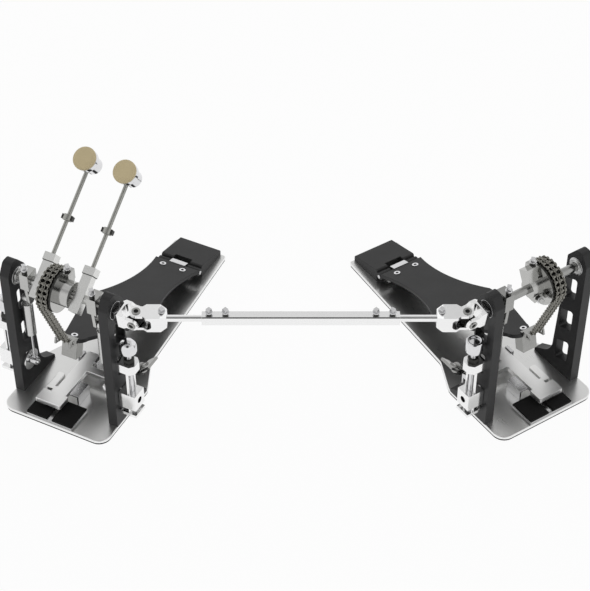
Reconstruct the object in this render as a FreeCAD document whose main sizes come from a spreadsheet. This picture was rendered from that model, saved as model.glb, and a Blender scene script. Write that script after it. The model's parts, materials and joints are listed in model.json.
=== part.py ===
import FreeCAD, Part
import math
import os
import re
from types import SimpleNamespace
from FreeCAD import Placement, Rotation, Vector

# A double bass drum pedal: a main pedal with two beaters, and a slave pedal that drives the second beater
# through a telescoping shaft with a universal joint at each end.
# Row frame: +X along the drive shaft, +Y towards the heels, +Z up, origin on the floor under the middle of
# the main axle. Each pedal is drawn in its own frame, with x along its axle, and then turned by its yaw.

SIZES = {
    # How the two pedals stand
    "yaw_main": 27.0, "yaw_slave": 33.6, "shaft_span": 360.0, "joint_out": 27.0,
    # Base plate and mat
    "base_width": 140.0, "base_front": 48.0, "base_length": 352.0, "base_thickness": 4.0,
    "base_corner": 15.0, "knee_start": 99.0, "knee_end": 142.0, "knee_width": 100.0, "heel_end_width": 74.0,
    "heel_corner": 4.0, "mat_thickness": 2.0, "mat_inset": 0.5,
    # Posts and bearings
    "post_thickness": 12.0, "post_front": 17.0, "post_depth": 32.0, "post_top": 23.0, "post_foot": 66.0,
    "foot_edge": 4.0, "foot_rise": 20.0, "foot_sweep": 6.0, "foot_round": 26.0, "waist_drop": 25.0,
    "waist_round": 20.0, "head_back_drop": 16.0, "head_back_cut": 13.0, "head_front_drop": 14.0,
    "head_front_cut": 9.0, "head_round": 6.0, "window_round": 3.0, "window_width": 20.0,
    "window_height": 29.0, "window_drop": 8.0, "window_below": 36.0, "window_low": 41.0,
    "window_front": 6.0, "bearing_radius": 11.0, "running_gap": 0.05,
    # Hoop clamp
    "seat_width": 61.0, "seat_depth": 35.0, "seat_shift": 5.5, "seat_thickness": 2.0, "pad_thickness": 2.5,
    "seat_inset": 2.0, "pad_inset": 0.5, "pad_gap": 7.0, "hoop_gap": 6.0, "jaw_thickness": 6.5,
    "jaw_bar_width": 34.0, "jaw_bar_depth": 18.0, "jaw_neck_width": 17.0, "jaw_reach": 33.0,
    "jaw_tail": 10.0, "jaw_pivot": 52.0, "jaw_shift": 14.0, "neck_shift": 9.0, "prong_width": 9.0,
    "prong_gap": 3.0, "prong_notch": 4.0, "prong_root": 9.0, "prong_end": 16.0, "guide_width": 12.0,
    "guide_front": 9.0, "guide_length": 24.0, "guide_height": 15.0, "guide_sheet": 2.0, "guide_gap": 1.0,
    "jaw_arm_past": 5.0, "jaw_arm_depth": 10.0, "bar_round": 1.5, "slot_round": 0.9, "arm_fillet": 2.0,
    "arm_end_round": 3.0, "tail_round": 4.0, "pin_radius": 2.5, "lug_thickness": 4.0, "lug_depth": 12.0,
    "lug_rise": 5.0, "lug_gap": 0.5, "nut_inset": 20.0, "screw_y": 36.0, "screw_z": 33.0,
    "screw_tilt": 45.0, "screw_in": 7.5, "screw_radius": 3.5, "screw_length": 54.0, "collar_back": 20.0,
    "collar_step": 3.0, "wing_thickness": 3.2, "wing_length": 20.0, "wing_height": 16.0, "wing_rise": 2.0,
    "nut_side": 14.0, "nut_depth": 18.0, "nut_leg": 3.0,
    # Heel plate and footboard
    "hinge_y": 249.0, "hinge_z": 18.0, "knuckle_radius": 5.0, "knuckle_half": 11.5, "knuckle_gap": 0.5,
    "heel_width": 58.0, "heel_depth": 49.0, "heel_front_top": 24.0, "heel_back_top": 13.0, "heel_gap": 1.0,
    "heel_round": 2.5, "heel_notch": 7.0, "web_reach": 9.0, "web_height": 6.0, "web_drop": 1.0,
    "pin_end": 1.5, "board_thickness": 5.0, "board_rear": 62.0, "board_waist": 52.0, "board_toe": 86.0,
    "board_nose": 30.0, "waist_at": 62.0, "toe_from": 132.0, "toe_to": 160.0, "nose_shift": 7.0,
    "board_screw": 4.0, "board_under": 1.0, "board_gap": 1.2, "nose_length": 14.0, "board_web": 16.0,
    "tab_depth": 9.0, "tab_back": 1.5, "tab_rise": 0.8, "screw_spread": 14.0, "screw_from_hinge": 18.0,
    "screw_from_toe": 9.0, "tongue_screw": 1.5, "screw_proud": 0.8, "toe_pin_rise": 0.5, "toe_gap": 9.5,
    "toe_ear": 13.2, "toe_ear_front": 5.0, "toe_ear_rise": 10.0, "toe_ear_drop": 2.0, "toe_plate": 2.4,
    "toe_foot_from": 5.6, "toe_foot_depth": 7.0, "toe_foot_rise": 2.0, "strap_width": 20.0,
    "strap_depth": 14.0, "strap_drop": 22.0, "strap_back": 18.0,
    # Axle, cam and chain
    "axle_height": 175.0, "axle_radius": 5.0, "cam_radius": 25.5, "main_chain_x": 9.0,
    "slave_chain_x": 14.0, "chain_lean": 21.8, "chain_pitch": 6.35, "run_links": 13, "loose_links": 2,
    "wrap_links": 9, "chain_width": 14.4, "link_height": 5.2, "link_plate": 1.0, "link_pin": 1.0,
    "link_roller": 1.65, "link_gap": 0.15, "flange_thickness": 3.0, "hub_radius": 15.5, "hub_length": 15.0,
    "hub_split": 9.0, "toe_pin_gap": 1.9, "rim_gap": 0.5, "drum_side": 0.4, "clamp_width": 10.0,
    "clamp_depth": 13.0, "clamp_height": 14.0, "clamp_z": 17.0, "clamp_back": 5.0, "slave_hub": 11.0,
    "lever_thickness": 3.2, "lever_width": 8.0, "lever_top": 24.5, "lever_tail": 13.0, "lever_lean": 27.0,
    "post_block": 12.0, "post_block_depth": 15.0, "post_block_top": 23.0, "low_key": 9.0, "low_ear": 10.0,
    "axle_end": 2.0, "axle_split": 1.0, "toe_pin_end": 4.0, "plate_gap": 0.35, "link_waist": 0.7,
    # Beaters
    "primary_x": -27.0, "secondary_x": 25.0, "beater_lean": 52.6, "holder_size": 12.0, "holder_top": 36.0,
    "holder_tail": 18.0, "cap_length": 9.0, "shaft_radius": 2.4, "shaft_start": 14.0,
    "beater_length": 147.0, "collar_at": 80.0, "collar_radius": 5.5, "collar_length": 7.0,
    "head_radius": 10.0, "head_back": 13.0, "felt_radius": 13.8, "felt_front": 19.5, "felt_length": 5.0,
    "felt_round": 2.0, "cap_edge": 1.0, "bore_floor": 3.0, "shaft_end": 6.0, "dish_rim": 0.5,
    "dish_depth": 8.5,
    # Rockers, spring cans and tension units
    "rocker_step": 6.0, "rocker_width": 12.0, "rocker_arm": 30.0, "arm_thickness": 4.0,
    "collar_depth": 18.0, "collar_top": 12.0, "collar_low": 10.0, "arm_wide": 8.0, "arm_narrow": 5.0,
    "arm_round": 4.5, "arm_hole": 3.0, "arm_hole_rise": 10.0, "key_forward": 5.0, "tip_pin_end": 4.0,
    "can_in": 8.0, "can_radius": 6.5, "can_bore": 5.8, "can_rise": 44.0, "eye_radius": 5.0,
    "eye_width": 7.0, "can_drop": 3.0, "can_mouth": 5.0, "can_floor": 1.0, "neck_side": 6.0,
    "rod_into_can": 20.0, "rod_radius": 1.5, "anchor_z": 46.0, "anchor_disc": 13.0, "anchor_shank": 4.0,
    "unit_out": 12.0, "block_width": 20.0, "block_height": 12.0, "block_z": 96.5, "block_cut": 5.0,
    "carriage_height": 22.0, "rail_spread": 7.0, "rail_radius": 1.8, "lead_radius": 3.0,
    "knob_radius": 10.0, "knob_height": 16.0, "knob_z": 118.0, "nut_height": 5.0, "nut_flats": 12.0,
    "carriage_hole": 4.0, "carriage_hole_depth": 4.0, "nut_gap": 0.3, "foot_drop": 9.0, "foot_height": 4.0,
    "carriage_gap": 0.5, "shank_end": 1.0, "disc_length": 3.0, "anchor_end": 6.0, "lead_end": 2.0,
    # Universal joints and telescoping shaft
    "joint_phase": 98.0, "yoke_length": 33.0, "axle_yoke_length": 25.0, "yoke_size": 20.0, "yoke_neck": 7.0,
    "fork_root": 16.0, "fork_round": 5.0, "ear_flare": 4.0, "yoke_round": 1.0, "socket_end": 1.0,
    "ear_half": 7.0, "ear_thickness": 4.0, "ear_inside": 8.0, "cross_half": 6.0, "cross_pin": 3.2,
    "open_pin_gap": 1.0, "drive_radius": 3.8, "tube_side": 12.0, "tube_bore": 4.2, "tube_start": 71.0,
    "tube_stop": 73.0, "rod_in_tube": 60.0, "key_spacing": 18.0, "key_inset": 8.0, "key_head": 5.0,
    "key_rise": 8.0, "rocker_key_rise": 13.0, "key_shank": 3.0,
}

doc = FreeCAD.newDocument("double_pedal")
sheet = doc.addObject("Spreadsheet::Sheet", "sizes")
for row, (alias, value) in enumerate(SIZES.items(), start=1):
    sheet.set(f"A{row}", alias)
    sheet.set(f"B{row}", str(value))
    sheet.setAlias(f"B{row}", alias)
doc.recompute()
S = SimpleNamespace(**{alias: float(sheet.get(alias)) for alias in SIZES})
RUN_LINKS, LOOSE_LINKS, WRAP_LINKS = int(S.run_links), int(S.loose_links), int(S.wrap_links)
nodes = []


# Drawing helpers: each size or place is a number or an expression in the sheet's aliases.

def bind(obj, prop, text):
    """Tie a property to the sheet."""
    words = re.sub(r"[a-z_]\w*", lambda word: f"sizes.{word[0]}" if word[0] in SIZES else word[0], str(text))
    obj.setExpression(prop, words)


def place(obj, base, turn=None):
    """Put an object at base, turned by turn."""
    obj.Placement = Placement(Vector(0, 0, 0), turn or Rotation())
    for axis, text in zip("xyz", base):
        bind(obj, f"Placement.Base.{axis}", text)
    return obj


def box(name, centre, size):
    obj = doc.addObject("Part::Box", name)
    for prop, text in zip(("Length", "Width", "Height"), size):
        bind(obj, prop, text)
    return place(obj, [f"({middle}) - ({side}) / 2" for middle, side in zip(centre, size)])


TURNS = {"x": Rotation(Vector(0, 1, 0), 90), "y": Rotation(Vector(1, 0, 0), -90), "z": Rotation()}


def rod(name, start, radius, length, axis="z"):
    """A cylinder that starts at start and runs along axis, or along a given turn of z."""
    obj = doc.addObject("Part::Cylinder", name)
    bind(obj, "Radius", radius)
    bind(obj, "Height", length)
    return place(obj, start, TURNS[axis] if isinstance(axis, str) else axis)


def fuse(name, *parts):
    obj = doc.addObject("Part::MultiFuse", name)
    obj.Shapes = list(parts)
    return obj


def cut(name, base, *tools):
    obj = doc.addObject("Part::Cut", name)
    obj.Base = base
    obj.Tool = tools[0] if len(tools) == 1 else fuse(name + "_tools", *tools)
    return obj


def group(name, parts, base=(0, 0, 0), turn=None):
    """Solids that stay separate, placed together."""
    obj = doc.addObject("Part::Compound", name)
    obj.Links = list(parts)
    return place(obj, base, turn)


def rounded(points, radii):
    """A closed outline through the points, each corner rounded to its radius."""
    corners = []
    for index, (point, radius) in enumerate(zip(points, radii)):
        here = Vector(*point, 0)
        before = (Vector(*points[index - 1], 0) - here).normalize()
        after = (Vector(*points[(index + 1) % len(points)], 0) - here).normalize()
        half = before.getAngle(after) / 2
        back = radius / math.tan(half)
        middle = here + (before + after).normalize() * (radius / math.sin(half) - radius)
        corners.append((here + before * back, middle, here + after * back, radius))
    outline = []
    for index, (start, middle, end, radius) in enumerate(corners):
        if radius:
            outline.append(Part.Arc(start, middle, end))
        outline.append(Part.LineSegment(end, corners[(index + 1) % len(corners)][0]))
    return outline


def circle(across, up, radius):
    return Part.Circle(Vector(across, up, 0), Vector(0, 0, 1), radius)


def plate(name, outline, thickness, plane="XY_Plane", base=(0, 0, 0), turn=None):
    """A padded sketch: the outline's closed inner curves are holes."""
    body = doc.addObject("PartDesign::Body", name)
    sketch = body.newObject("Sketcher::SketchObject", name + "_sketch")
    support = next(item for item in body.Origin.OriginFeatures if item.Role == plane)
    sketch.AttachmentSupport = [(support, "")]
    sketch.MapMode = "FlatFace"
    sketch.addGeometry(outline, False)
    pad = body.newObject("PartDesign::Pad", name + "_pad")
    pad.Profile = sketch
    bind(pad, "Length", thickness)
    body.Tip = pad
    return place(body, base, turn)


def prism(name, centre, across_flats, height, sides=6):
    """A nut or a key screw's square head, standing on centre."""
    obj = doc.addObject("Part::Prism", name)
    obj.Polygon = sides
    bind(obj, "Circumradius", f"({across_flats}) / 2 / cos(180 deg / {sides})")
    bind(obj, "Height", height)
    return place(obj, centre)


def node(label, parts, frame):
    """One named sub-part, in a pedal's frame or in the shaft's."""
    base, axis, yaw = FRAMES[frame]
    obj = group(label, parts, base, Rotation(axis, 30))
    obj.Label = label
    bind(obj, "Placement.Rotation.Angle", yaw)
    nodes.append(obj)
    return obj


# Along an axle, from the middle: the joint and the tension unit stand off the posts' outer faces, the spring
# can and its rocker hang inside the posts, and the jaw screw's nut stands beside the inner post.
JOINT_REACH = "(base_width / 2 + joint_out)"
UNIT_X = "(base_width / 2 + unit_out)"
CAN_X = "(base_width / 2 - post_thickness - can_in)"
ROCKER_X = f"({CAN_X} - rocker_step)"
SCREW_X = "(base_width / 2 - nut_inset)"
TUBE_LENGTH = "(shaft_span - tube_start - tube_stop)"
JOINT_X = f"{JOINT_REACH} * cos(1 deg * yaw_main)"
JOINT_Y = f"-{JOINT_REACH} * sin(1 deg * yaw_main)"
FRAMES = {
    "main": ((0, 0, 0), Vector(0, 0, -1), "1 deg * yaw_main"),
    "slave": ((f"{JOINT_X} + shaft_span + {JOINT_REACH} * cos(1 deg * yaw_slave)",
               f"{JOINT_Y} + {JOINT_REACH} * sin(1 deg * yaw_slave)", 0),
              Vector(0, 0, 1), "1 deg * yaw_slave"),
    "shaft": ((JOINT_X, JOINT_Y, "axle_height"), Vector(0, 0, 1), "0 deg"),
}
SIDES = {"main": 1, "slave": -1}

# Where the chain and the footboard lie, worked out in a pedal's own side view: y towards the heel, z up.
BASE_TOP = S.mat_thickness + S.base_thickness
CHAIN_LEAN = math.radians(S.chain_lean)
CHAIN_STEP = 2 * math.asin(S.chain_pitch / 2 / S.cam_radius)
LEAN_BACK = Rotation(Vector(1, 0, 0), -S.beater_lean)


def chain_pin(index):
    """Pin 0 is where the run leaves the cam; negative pins hang below it, positive ones lie on the cam."""
    angle = max(index, 0) * CHAIN_STEP - CHAIN_LEAN
    below = max(-index, 0) * S.chain_pitch
    y = -S.cam_radius * math.cos(angle) + below * math.sin(CHAIN_LEAN)
    z = S.axle_height + S.cam_radius * math.sin(angle) - below * math.cos(CHAIN_LEAN)
    return Vector(0, y, z)


TOE_PIN = chain_pin(-RUN_LINKS)
TOE_RISE = S.board_under + S.board_thickness + S.toe_pin_rise
TOE_REACH = math.hypot(S.hinge_y - TOE_PIN.y, TOE_PIN.z - S.hinge_z)
BOARD_SLOPE = math.atan2(TOE_PIN.z - S.hinge_z, S.hinge_y - TOE_PIN.y) - math.asin(TOE_RISE / TOE_REACH)
BOARD_TURN = Rotation(Vector(1, 0, 0), -math.degrees(BOARD_SLOPE))
PIN_REACH = math.sqrt(TOE_REACH ** 2 - TOE_RISE ** 2)
BOARD_LENGTH = PIN_REACH - S.toe_gap
BOARD_BASE = (0, "hinge_y", "hinge_z")


# The frame of one pedal

def base_outline(inset):
    """Wide at the drum, in at the knee and narrow at the heel."""
    half, knee, heel = (width / 2 - inset for width in (S.base_width, S.knee_width, S.heel_end_width))
    front = -S.base_front
    right = [(half, front + inset), (half, front + S.knee_start), (knee, front + S.knee_end),
             (heel, front + S.base_length - inset)]
    left = [(-x, y) for x, y in reversed(right)]
    radii = [S.base_corner - inset, S.base_corner, S.base_corner, S.heel_corner]
    return rounded(right + left, radii + radii[::-1])


def base_plate(pedal):
    steel = plate(f"{pedal}_base", base_outline(0), "base_thickness", base=(0, 0, "mat_thickness"))
    node(f"{pedal}_base_plate", [steel], pedal)


def rubber_pads(pedal, side):
    """The mat under the plate, and two strips that grip the hoop from below."""
    mat = plate(f"{pedal}_mat", base_outline(S.mat_inset), "mat_thickness")
    strips = []
    strip = "(seat_width - pad_gap) / 2"
    for name, sign in (("outer", -1), ("inner", 1)):
        x = f"{side} * ({sign} * ({strip} + pad_gap) / 2 - seat_shift)"
        y = "seat_inset + seat_depth / 2 - base_front"
        z = f"{BASE_TOP} + seat_thickness + pad_thickness / 2"
        strips.append(box(f"{pedal}_{name}_pad", (x, y, z),
                          (strip, "seat_depth - 2 * pad_inset", "pad_thickness")))
    node(f"{pedal}_rubber_pads", [mat] + strips, pedal)


def window(middle):
    """A slanted lightening window, lower at the back."""
    front = -S.window_front
    back = front + S.window_width
    low = middle - S.window_height / 2
    high = middle + S.window_height / 2
    drop = S.window_drop / 2
    points = [(front, low + drop), (back, low - drop), (back, high - drop), (front, high + drop)]
    return rounded(points, [S.window_round] * 4)


def post(pedal, name, side):
    """An upright cut from thick plate: a flared foot, three windows, the bearing's seat in its head."""
    front = -S.post_front
    back = front + S.post_depth
    top = S.axle_height + S.post_top
    foot = front + S.post_foot
    points = [(front, BASE_TOP), (foot, BASE_TOP), (foot, BASE_TOP + S.foot_edge),
              (back + S.foot_sweep, BASE_TOP + S.foot_rise), (back, S.axle_height - S.waist_drop),
              (back, top - S.head_back_drop), (back - S.head_back_cut, top), (front + S.head_front_cut, top),
              (front, top - S.head_front_drop)]
    outline = rounded(points, [0, 0, 0, S.foot_round, S.waist_round] + [S.head_round] * 4)
    outline.append(circle(0, S.axle_height, S.bearing_radius))
    highest = S.axle_height - S.window_below
    for middle in (S.window_low, (S.window_low + highest) / 2, highest):
        outline += window(middle)
    x = f"{side} * (base_width / 2 - post_thickness / 2) - post_thickness / 2"
    black = plate(f"{pedal}_{name}_upright", outline, "post_thickness", "YZ_Plane", (x, 0, 0))
    node(f"{pedal}_{name}_post", [black], pedal)


def heel_plate(pedal):
    """A tilted foot plate behind the footboard, notched between two knuckles for the hinge pin."""
    front = S.hinge_y + S.knuckle_radius + S.heel_gap
    back = front + S.heel_depth
    points = [(front, BASE_TOP), (back, BASE_TOP), (back, S.heel_back_top), (front, S.heel_front_top)]
    outline = rounded(points, [0, 0, S.heel_round, S.heel_round])
    wedge = plate(f"{pedal}_heel_wedge", outline, "heel_width", "YZ_Plane",
                  ("-heel_width / 2", 0, 0))
    length = "heel_width / 2 - knuckle_half - knuckle_gap"
    parts = [wedge]
    for name, start in (("left", "-heel_width / 2"), ("right", "knuckle_half + knuckle_gap")):
        middle = f"{start} + ({length}) / 2"
        parts.append(rod(f"{pedal}_{name}_knuckle", (start, "hinge_y", "hinge_z"), "knuckle_radius",
                         length, "x"))
        parts.append(box(f"{pedal}_{name}_web", (middle, "hinge_y + web_reach / 2", "hinge_z - web_drop"),
                         (length, "web_reach", "web_height")))
    bore = rod(f"{pedal}_heel_bore", ("-heel_width / 2", "hinge_y", "hinge_z"), "pin_radius",
               "heel_width", "x")
    notch = box(f"{pedal}_heel_notch", (0, f"{front} + heel_notch / 2", "heel_front_top"),
                ("2 * (knuckle_half + knuckle_gap)", "heel_notch", "2 * heel_front_top"))
    black = cut(f"{pedal}_heel", fuse(f"{pedal}_heel_blank", *parts), bore, notch)
    node(f"{pedal}_heel_plate", [black], pedal)


def screw_turn(side):
    """The jaw screw slants up and out, past the back of the inner post."""
    return Rotation(Vector(0, 1, 0), side * S.screw_tilt)


def frame_hardware(pedal, side):
    """Bearings, heel hinge pin, hoop seat, jaw lugs with their pin, and the jaw screw's nut block."""
    parts = []
    for name, sign in (("outer", -side), ("inner", side)):
        x = f"{sign} * (base_width / 2 - post_thickness / 2) - post_thickness / 2"
        ring = rod(f"{pedal}_{name}_ring", (x, 0, "axle_height"), "bearing_radius", "post_thickness", "x")
        bore = rod(f"{pedal}_{name}_race", (x, 0, "axle_height"), "axle_radius + running_gap",
                   "post_thickness", "x")
        parts.append(cut(f"{pedal}_{name}_bearing", ring, bore))
    parts.append(rod(f"{pedal}_heel_pin", ("-heel_width / 2 - pin_end", "hinge_y", "hinge_z"),
                     "pin_radius", "heel_width + 2 * pin_end", "x"))
    seat_at = (f"{-side} * seat_shift", "seat_inset + seat_depth / 2 - base_front",
               f"{BASE_TOP} + seat_thickness / 2")
    parts.append(box(f"{pedal}_hoop_seat", seat_at,
                     ("seat_width", "seat_depth", "seat_thickness")))
    lugs = []
    for name, sign in (("outer", -1), ("inner", 1)):
        x = f"{side} * ({sign} * ((jaw_neck_width + lug_thickness) / 2 + lug_gap) - neck_shift)"
        lugs.append(box(f"{pedal}_{name}_lug", (x, "jaw_pivot", f"({JAW_MID} + lug_rise + {BASE_TOP}) / 2"),
                        ("lug_thickness", "lug_depth", f"{JAW_MID} + lug_rise - {BASE_TOP}")))
    half = "jaw_neck_width / 2 + lug_thickness + pin_end"
    pin = rod(f"{pedal}_jaw_pin", (f"-{side} * neck_shift - ({half})", "jaw_pivot", JAW_MID), "pin_radius",
              f"2 * ({half})", "x")
    parts.append(fuse(f"{pedal}_jaw_lugs", *lugs, pin))
    parts.append(nut_bridge(pedal, side))
    parts.append(neck_guide(pedal, side))
    node(f"{pedal}_frame_hardware", parts, pedal)


def neck_guide(pedal, side):
    """A folded angle that keeps the jaw's neck from swinging sideways."""
    low = "jaw_neck_width / 2 - neck_shift + guide_gap"
    y = "guide_length / 2 - guide_front"
    x = f"{side} * ({low} + guide_width - guide_sheet / 2)"
    wall = box(f"{pedal}_guide_wall", (x, y, f"{BASE_TOP} + guide_height / 2"),
               ("guide_sheet", "guide_length", "guide_height"))
    shelf = box(f"{pedal}_guide_shelf", (f"{side} * ({low} + guide_width / 2)", y,
                                         f"{BASE_TOP} + guide_height - guide_sheet / 2"),
                ("guide_width", "guide_length", "guide_sheet"))
    return fuse(f"{pedal}_neck_guide", wall, shelf)


def nut_bridge(pedal, side):
    """The jaw screw's nut, on two legs over the jaw's arm."""
    centre = (f"{side} * {SCREW_X}", "screw_y", "screw_z")
    blocks = [box(f"{pedal}_nut_top", centre, ("nut_side", "nut_depth", "nut_side"))]
    height = f"screw_z - {BASE_TOP}"
    for name, sign in (("front", -1), ("back", 1)):
        y = f"screw_y + {sign} * (nut_depth - nut_leg) / 2"
        blocks.append(box(f"{pedal}_nut_{name}_leg", (centre[0], y, f"{BASE_TOP} + ({height}) / 2"),
                          ("nut_side", "nut_leg", height)))
    back = "nut_side * sin(1 deg * screw_tilt)"
    drop = "nut_side * cos(1 deg * screw_tilt)"
    bore = rod(f"{pedal}_nut_bore", (f"{side} * ({SCREW_X} - {back})", "screw_y", f"screw_z - {drop}"),
               "screw_radius + running_gap", "2 * nut_side", screw_turn(side))
    return cut(f"{pedal}_nut_bridge", fuse(f"{pedal}_nut_blank", *blocks), bore)


# The hoop clamp

JAW_MID = "mat_thickness + base_thickness + seat_thickness + pad_thickness + hoop_gap + jaw_thickness / 2"


def hoop_jaw(pedal, side):
    """A lever of thick plate: its bar presses the hoop, its rear turns on a pin, its arm takes the screw."""
    front = -S.jaw_reach
    step = front + S.jaw_bar_depth
    notch = step + S.prong_notch
    root = step + S.prong_root
    tail = S.jaw_pivot + S.jaw_tail
    bar_left, bar_right = (-S.jaw_shift + sign * S.jaw_bar_width / 2 for sign in (-1, 1))
    left, right = (-S.neck_shift + sign * S.jaw_neck_width / 2 for sign in (-1, 1))
    prong_right = left - S.prong_gap
    prong_left = prong_right - S.prong_width
    low, high = (S.screw_y + sign * S.jaw_arm_depth / 2 for sign in (-1, 1))
    arm_end = S.base_width / 2 - S.nut_inset + S.jaw_arm_past
    bar, slot, inside, tip, rear = S.bar_round, S.slot_round, S.arm_fillet, S.arm_end_round, S.tail_round
    corners = [(bar_right, front, bar), (bar_right, step, bar), (right, step, slot), (right, low, inside),
               (arm_end, low, tip), (arm_end, high, tip), (right, high, inside), (right, tail, rear),
               (left, tail, rear), (left, root, slot), (prong_right, root, slot),
               (prong_right, S.prong_end, inside), (prong_left, S.prong_end, inside),
               (prong_left, notch, slot), (prong_right, notch, slot), (prong_right, step, slot),
               (bar_left, step, slot), (bar_left, front, bar)]
    outline = rounded([(side * x, y) for x, y, _ in corners], [radius for _, _, radius in corners])
    under = f"{JAW_MID} - jaw_thickness / 2"
    flat = plate(f"{pedal}_jaw_plate", outline, "jaw_thickness", base=(0, 0, under))
    bore = rod(f"{pedal}_jaw_bore", (f"-{side} * neck_shift - jaw_neck_width", "jaw_pivot", JAW_MID),
               "pin_radius + running_gap", "2 * jaw_neck_width", "x")
    node(f"{pedal}_hoop_jaw", [cut(f"{pedal}_jaw", flat, bore)], pedal)


def hoop_screw(pedal, side):
    """The jaw's screw: shank, knurled collar and a wing plate to turn it by."""
    shank = rod(f"{pedal}_screw_shank", (0, 0, 0), "screw_radius", "screw_length")
    collar = rod(f"{pedal}_screw_collar", (0, 0, "screw_length - collar_back"), "screw_radius + collar_step",
                 "collar_back / 2")
    wing = box(f"{pedal}_wing", (0, 0, "screw_length + wing_rise"),
               ("wing_thickness", "wing_length", "wing_height"))
    screw = fuse(f"{pedal}_wing_screw", shank, collar, wing)
    start = (f"{side} * ({SCREW_X} - screw_in * sin(1 deg * screw_tilt))", "screw_y",
             "screw_z - screw_in * cos(1 deg * screw_tilt)")
    node(f"{pedal}_hoop_screw", [place(screw, start, screw_turn(side))], pedal)


# Footboard and toe bracket

def board_outline(side):
    """Drawn in at the waist, wide under the toes, with a tongue that reaches to the chain."""
    rear, waist, toe, nose = (w / 2 for w in (S.board_rear, S.board_waist, S.board_toe, S.board_nose))
    shift = -side * S.nose_shift
    start, middle, wide, end = S.knuckle_radius + S.board_gap, S.waist_at, S.toe_from, S.toe_to
    neck = BOARD_LENGTH - S.nose_length

    def at(x, reach):
        return Vector(x, -reach, 0)

    points = [at(rear, start), at(toe, wide), at(toe, end), at(shift + nose, neck)]
    mirror = [at(-rear, start), at(-toe, wide), at(-toe, end), at(shift - nose, neck)]
    return [Part.Arc(points[0], at(waist, middle), points[1]), Part.LineSegment(points[1], points[2]),
            Part.LineSegment(points[2], points[3]), Part.Arc(points[3], at(shift, BOARD_LENGTH), mirror[3]),
            Part.LineSegment(mirror[3], mirror[2]), Part.LineSegment(mirror[2], mirror[1]),
            Part.Arc(mirror[1], at(-waist, middle), mirror[0]), Part.LineSegment(mirror[0], points[0])]


def footboard(pedal, side):
    slab = plate(f"{pedal}_board_slab", board_outline(side), "board_thickness", base=(0, 0, "board_under"))
    half = "knuckle_half - knuckle_gap"
    barrel = rod(f"{pedal}_board_barrel", (f"-({half})", 0, 0), "knuckle_radius", f"2 * ({half})", "x")
    web = box(f"{pedal}_board_web", (0, "-board_web / 2", "board_under + board_thickness / 2"),
              (f"2 * ({half})", "board_web", "board_thickness"))
    bore = rod(f"{pedal}_board_bore", ("-knuckle_half", 0, 0), "pin_radius + running_gap",
               "2 * knuckle_half", "x")
    board = cut(f"{pedal}_board", fuse(f"{pedal}_board_blank", slab, barrel, web), bore)
    node(f"{pedal}_footboard", [place(board, BOARD_BASE, BOARD_TURN)], pedal)


def toe_bracket(pedal, side):
    """Ears for the chain's last pin, the strap under the tongue, the board's screws and its hinge tab."""
    top = "board_under + board_thickness"
    chain = f"{-side} * {pedal}_chain_x"
    spread = "chain_width / 2 + toe_plate"
    ears = []
    for name, sign in (("left", -1), ("right", 1)):
        ears.append(box(f"{pedal}_{name}_ear",
                        (f"{chain} + {sign} * ({spread})", f"toe_ear / 2 - toe_ear_front - {PIN_REACH}",
                         "(toe_ear_rise + toe_ear_drop) / 2"),
                        ("toe_plate", "toe_ear", "toe_ear_rise - toe_ear_drop")))
    foot = box(f"{pedal}_toe_foot",
               (chain, f"toe_foot_from + toe_foot_depth / 2 - {PIN_REACH}", f"{top} + toe_foot_rise / 2"),
               (f"2 * ({spread}) + toe_plate", "toe_foot_depth", "toe_foot_rise"))
    hole = rod(f"{pedal}_toe_hole", (f"{chain} - chain_width", -PIN_REACH, TOE_RISE),
               "link_pin + toe_pin_gap", "2 * chain_width", "x")
    parts = [cut(f"{pedal}_toe_ears", fuse(f"{pedal}_ear_blank", *ears, foot), hole)]
    strap_at = (chain, f"strap_back - {PIN_REACH}", "board_under - strap_drop / 2")
    parts.append(box(f"{pedal}_toe_strap", strap_at, ("strap_width", "strap_depth", "strap_drop")))
    parts.append(box(f"{pedal}_hinge_tab", (0, "tab_back - tab_depth / 2", f"{top} + tab_rise / 2"),
                     ("2 * (knuckle_half - knuckle_gap)", "tab_depth", "tab_rise")))
    rear, fore = S.screw_from_hinge, BOARD_LENGTH - S.screw_from_toe
    tongue = f"{chain} + {side} * tongue_screw"
    screws = ((-S.screw_spread, rear), (S.screw_spread, rear), (tongue, fore))
    for index, (x, distance) in enumerate(screws):
        parts.append(rod(f"{pedal}_board_screw_{index}", (x, -distance, top), "board_screw", "screw_proud"))
    node(f"{pedal}_toe_bracket", [group(f"{pedal}_toe_set", parts, BOARD_BASE, BOARD_TURN)], pedal)


# Axles, cams and chains

def rocker(name, x, sign):
    """A collar clamped on the axle by a key screw, with an arm that pulls the spring can."""
    collar = box(f"{name}_collar", (x, 0, "axle_height + (collar_top - collar_low) / 2"),
                 ("rocker_width", "collar_depth", "collar_top + collar_low"))
    bore = rod(f"{name}_bore", (f"{x} - rocker_width / 2", 0, "axle_height"), "axle_radius",
               "rocker_width", "x")
    tip = S.axle_height - S.rocker_arm
    root = S.axle_height - S.axle_radius
    points = [(-S.arm_wide, root), (S.arm_wide, root), (S.arm_narrow, tip - S.arm_narrow),
              (-S.arm_narrow, tip - S.arm_narrow)]
    outline = rounded(points, [0, 0, S.arm_round, S.arm_round])
    outline.append(circle(0, tip + S.arm_hole_rise, S.arm_hole))
    arm = plate(f"{name}_arm", outline, "arm_thickness", "YZ_Plane", (f"{x} - arm_thickness / 2", 0, 0))
    length = "rocker_step + tip_pin_end"
    pin = rod(f"{name}_tip", (f"{x} - {(1 - sign) // 2} * ({length})", 0, tip), "pin_radius", length, "x")
    screw = key_screw(f"{name}_key", (x, "-key_forward", "axle_height + collar_top"), rise="rocker_key_rise")
    return [cut(f"{name}_rocker", fuse(f"{name}_blank", collar, arm, pin), bore), screw]


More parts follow.
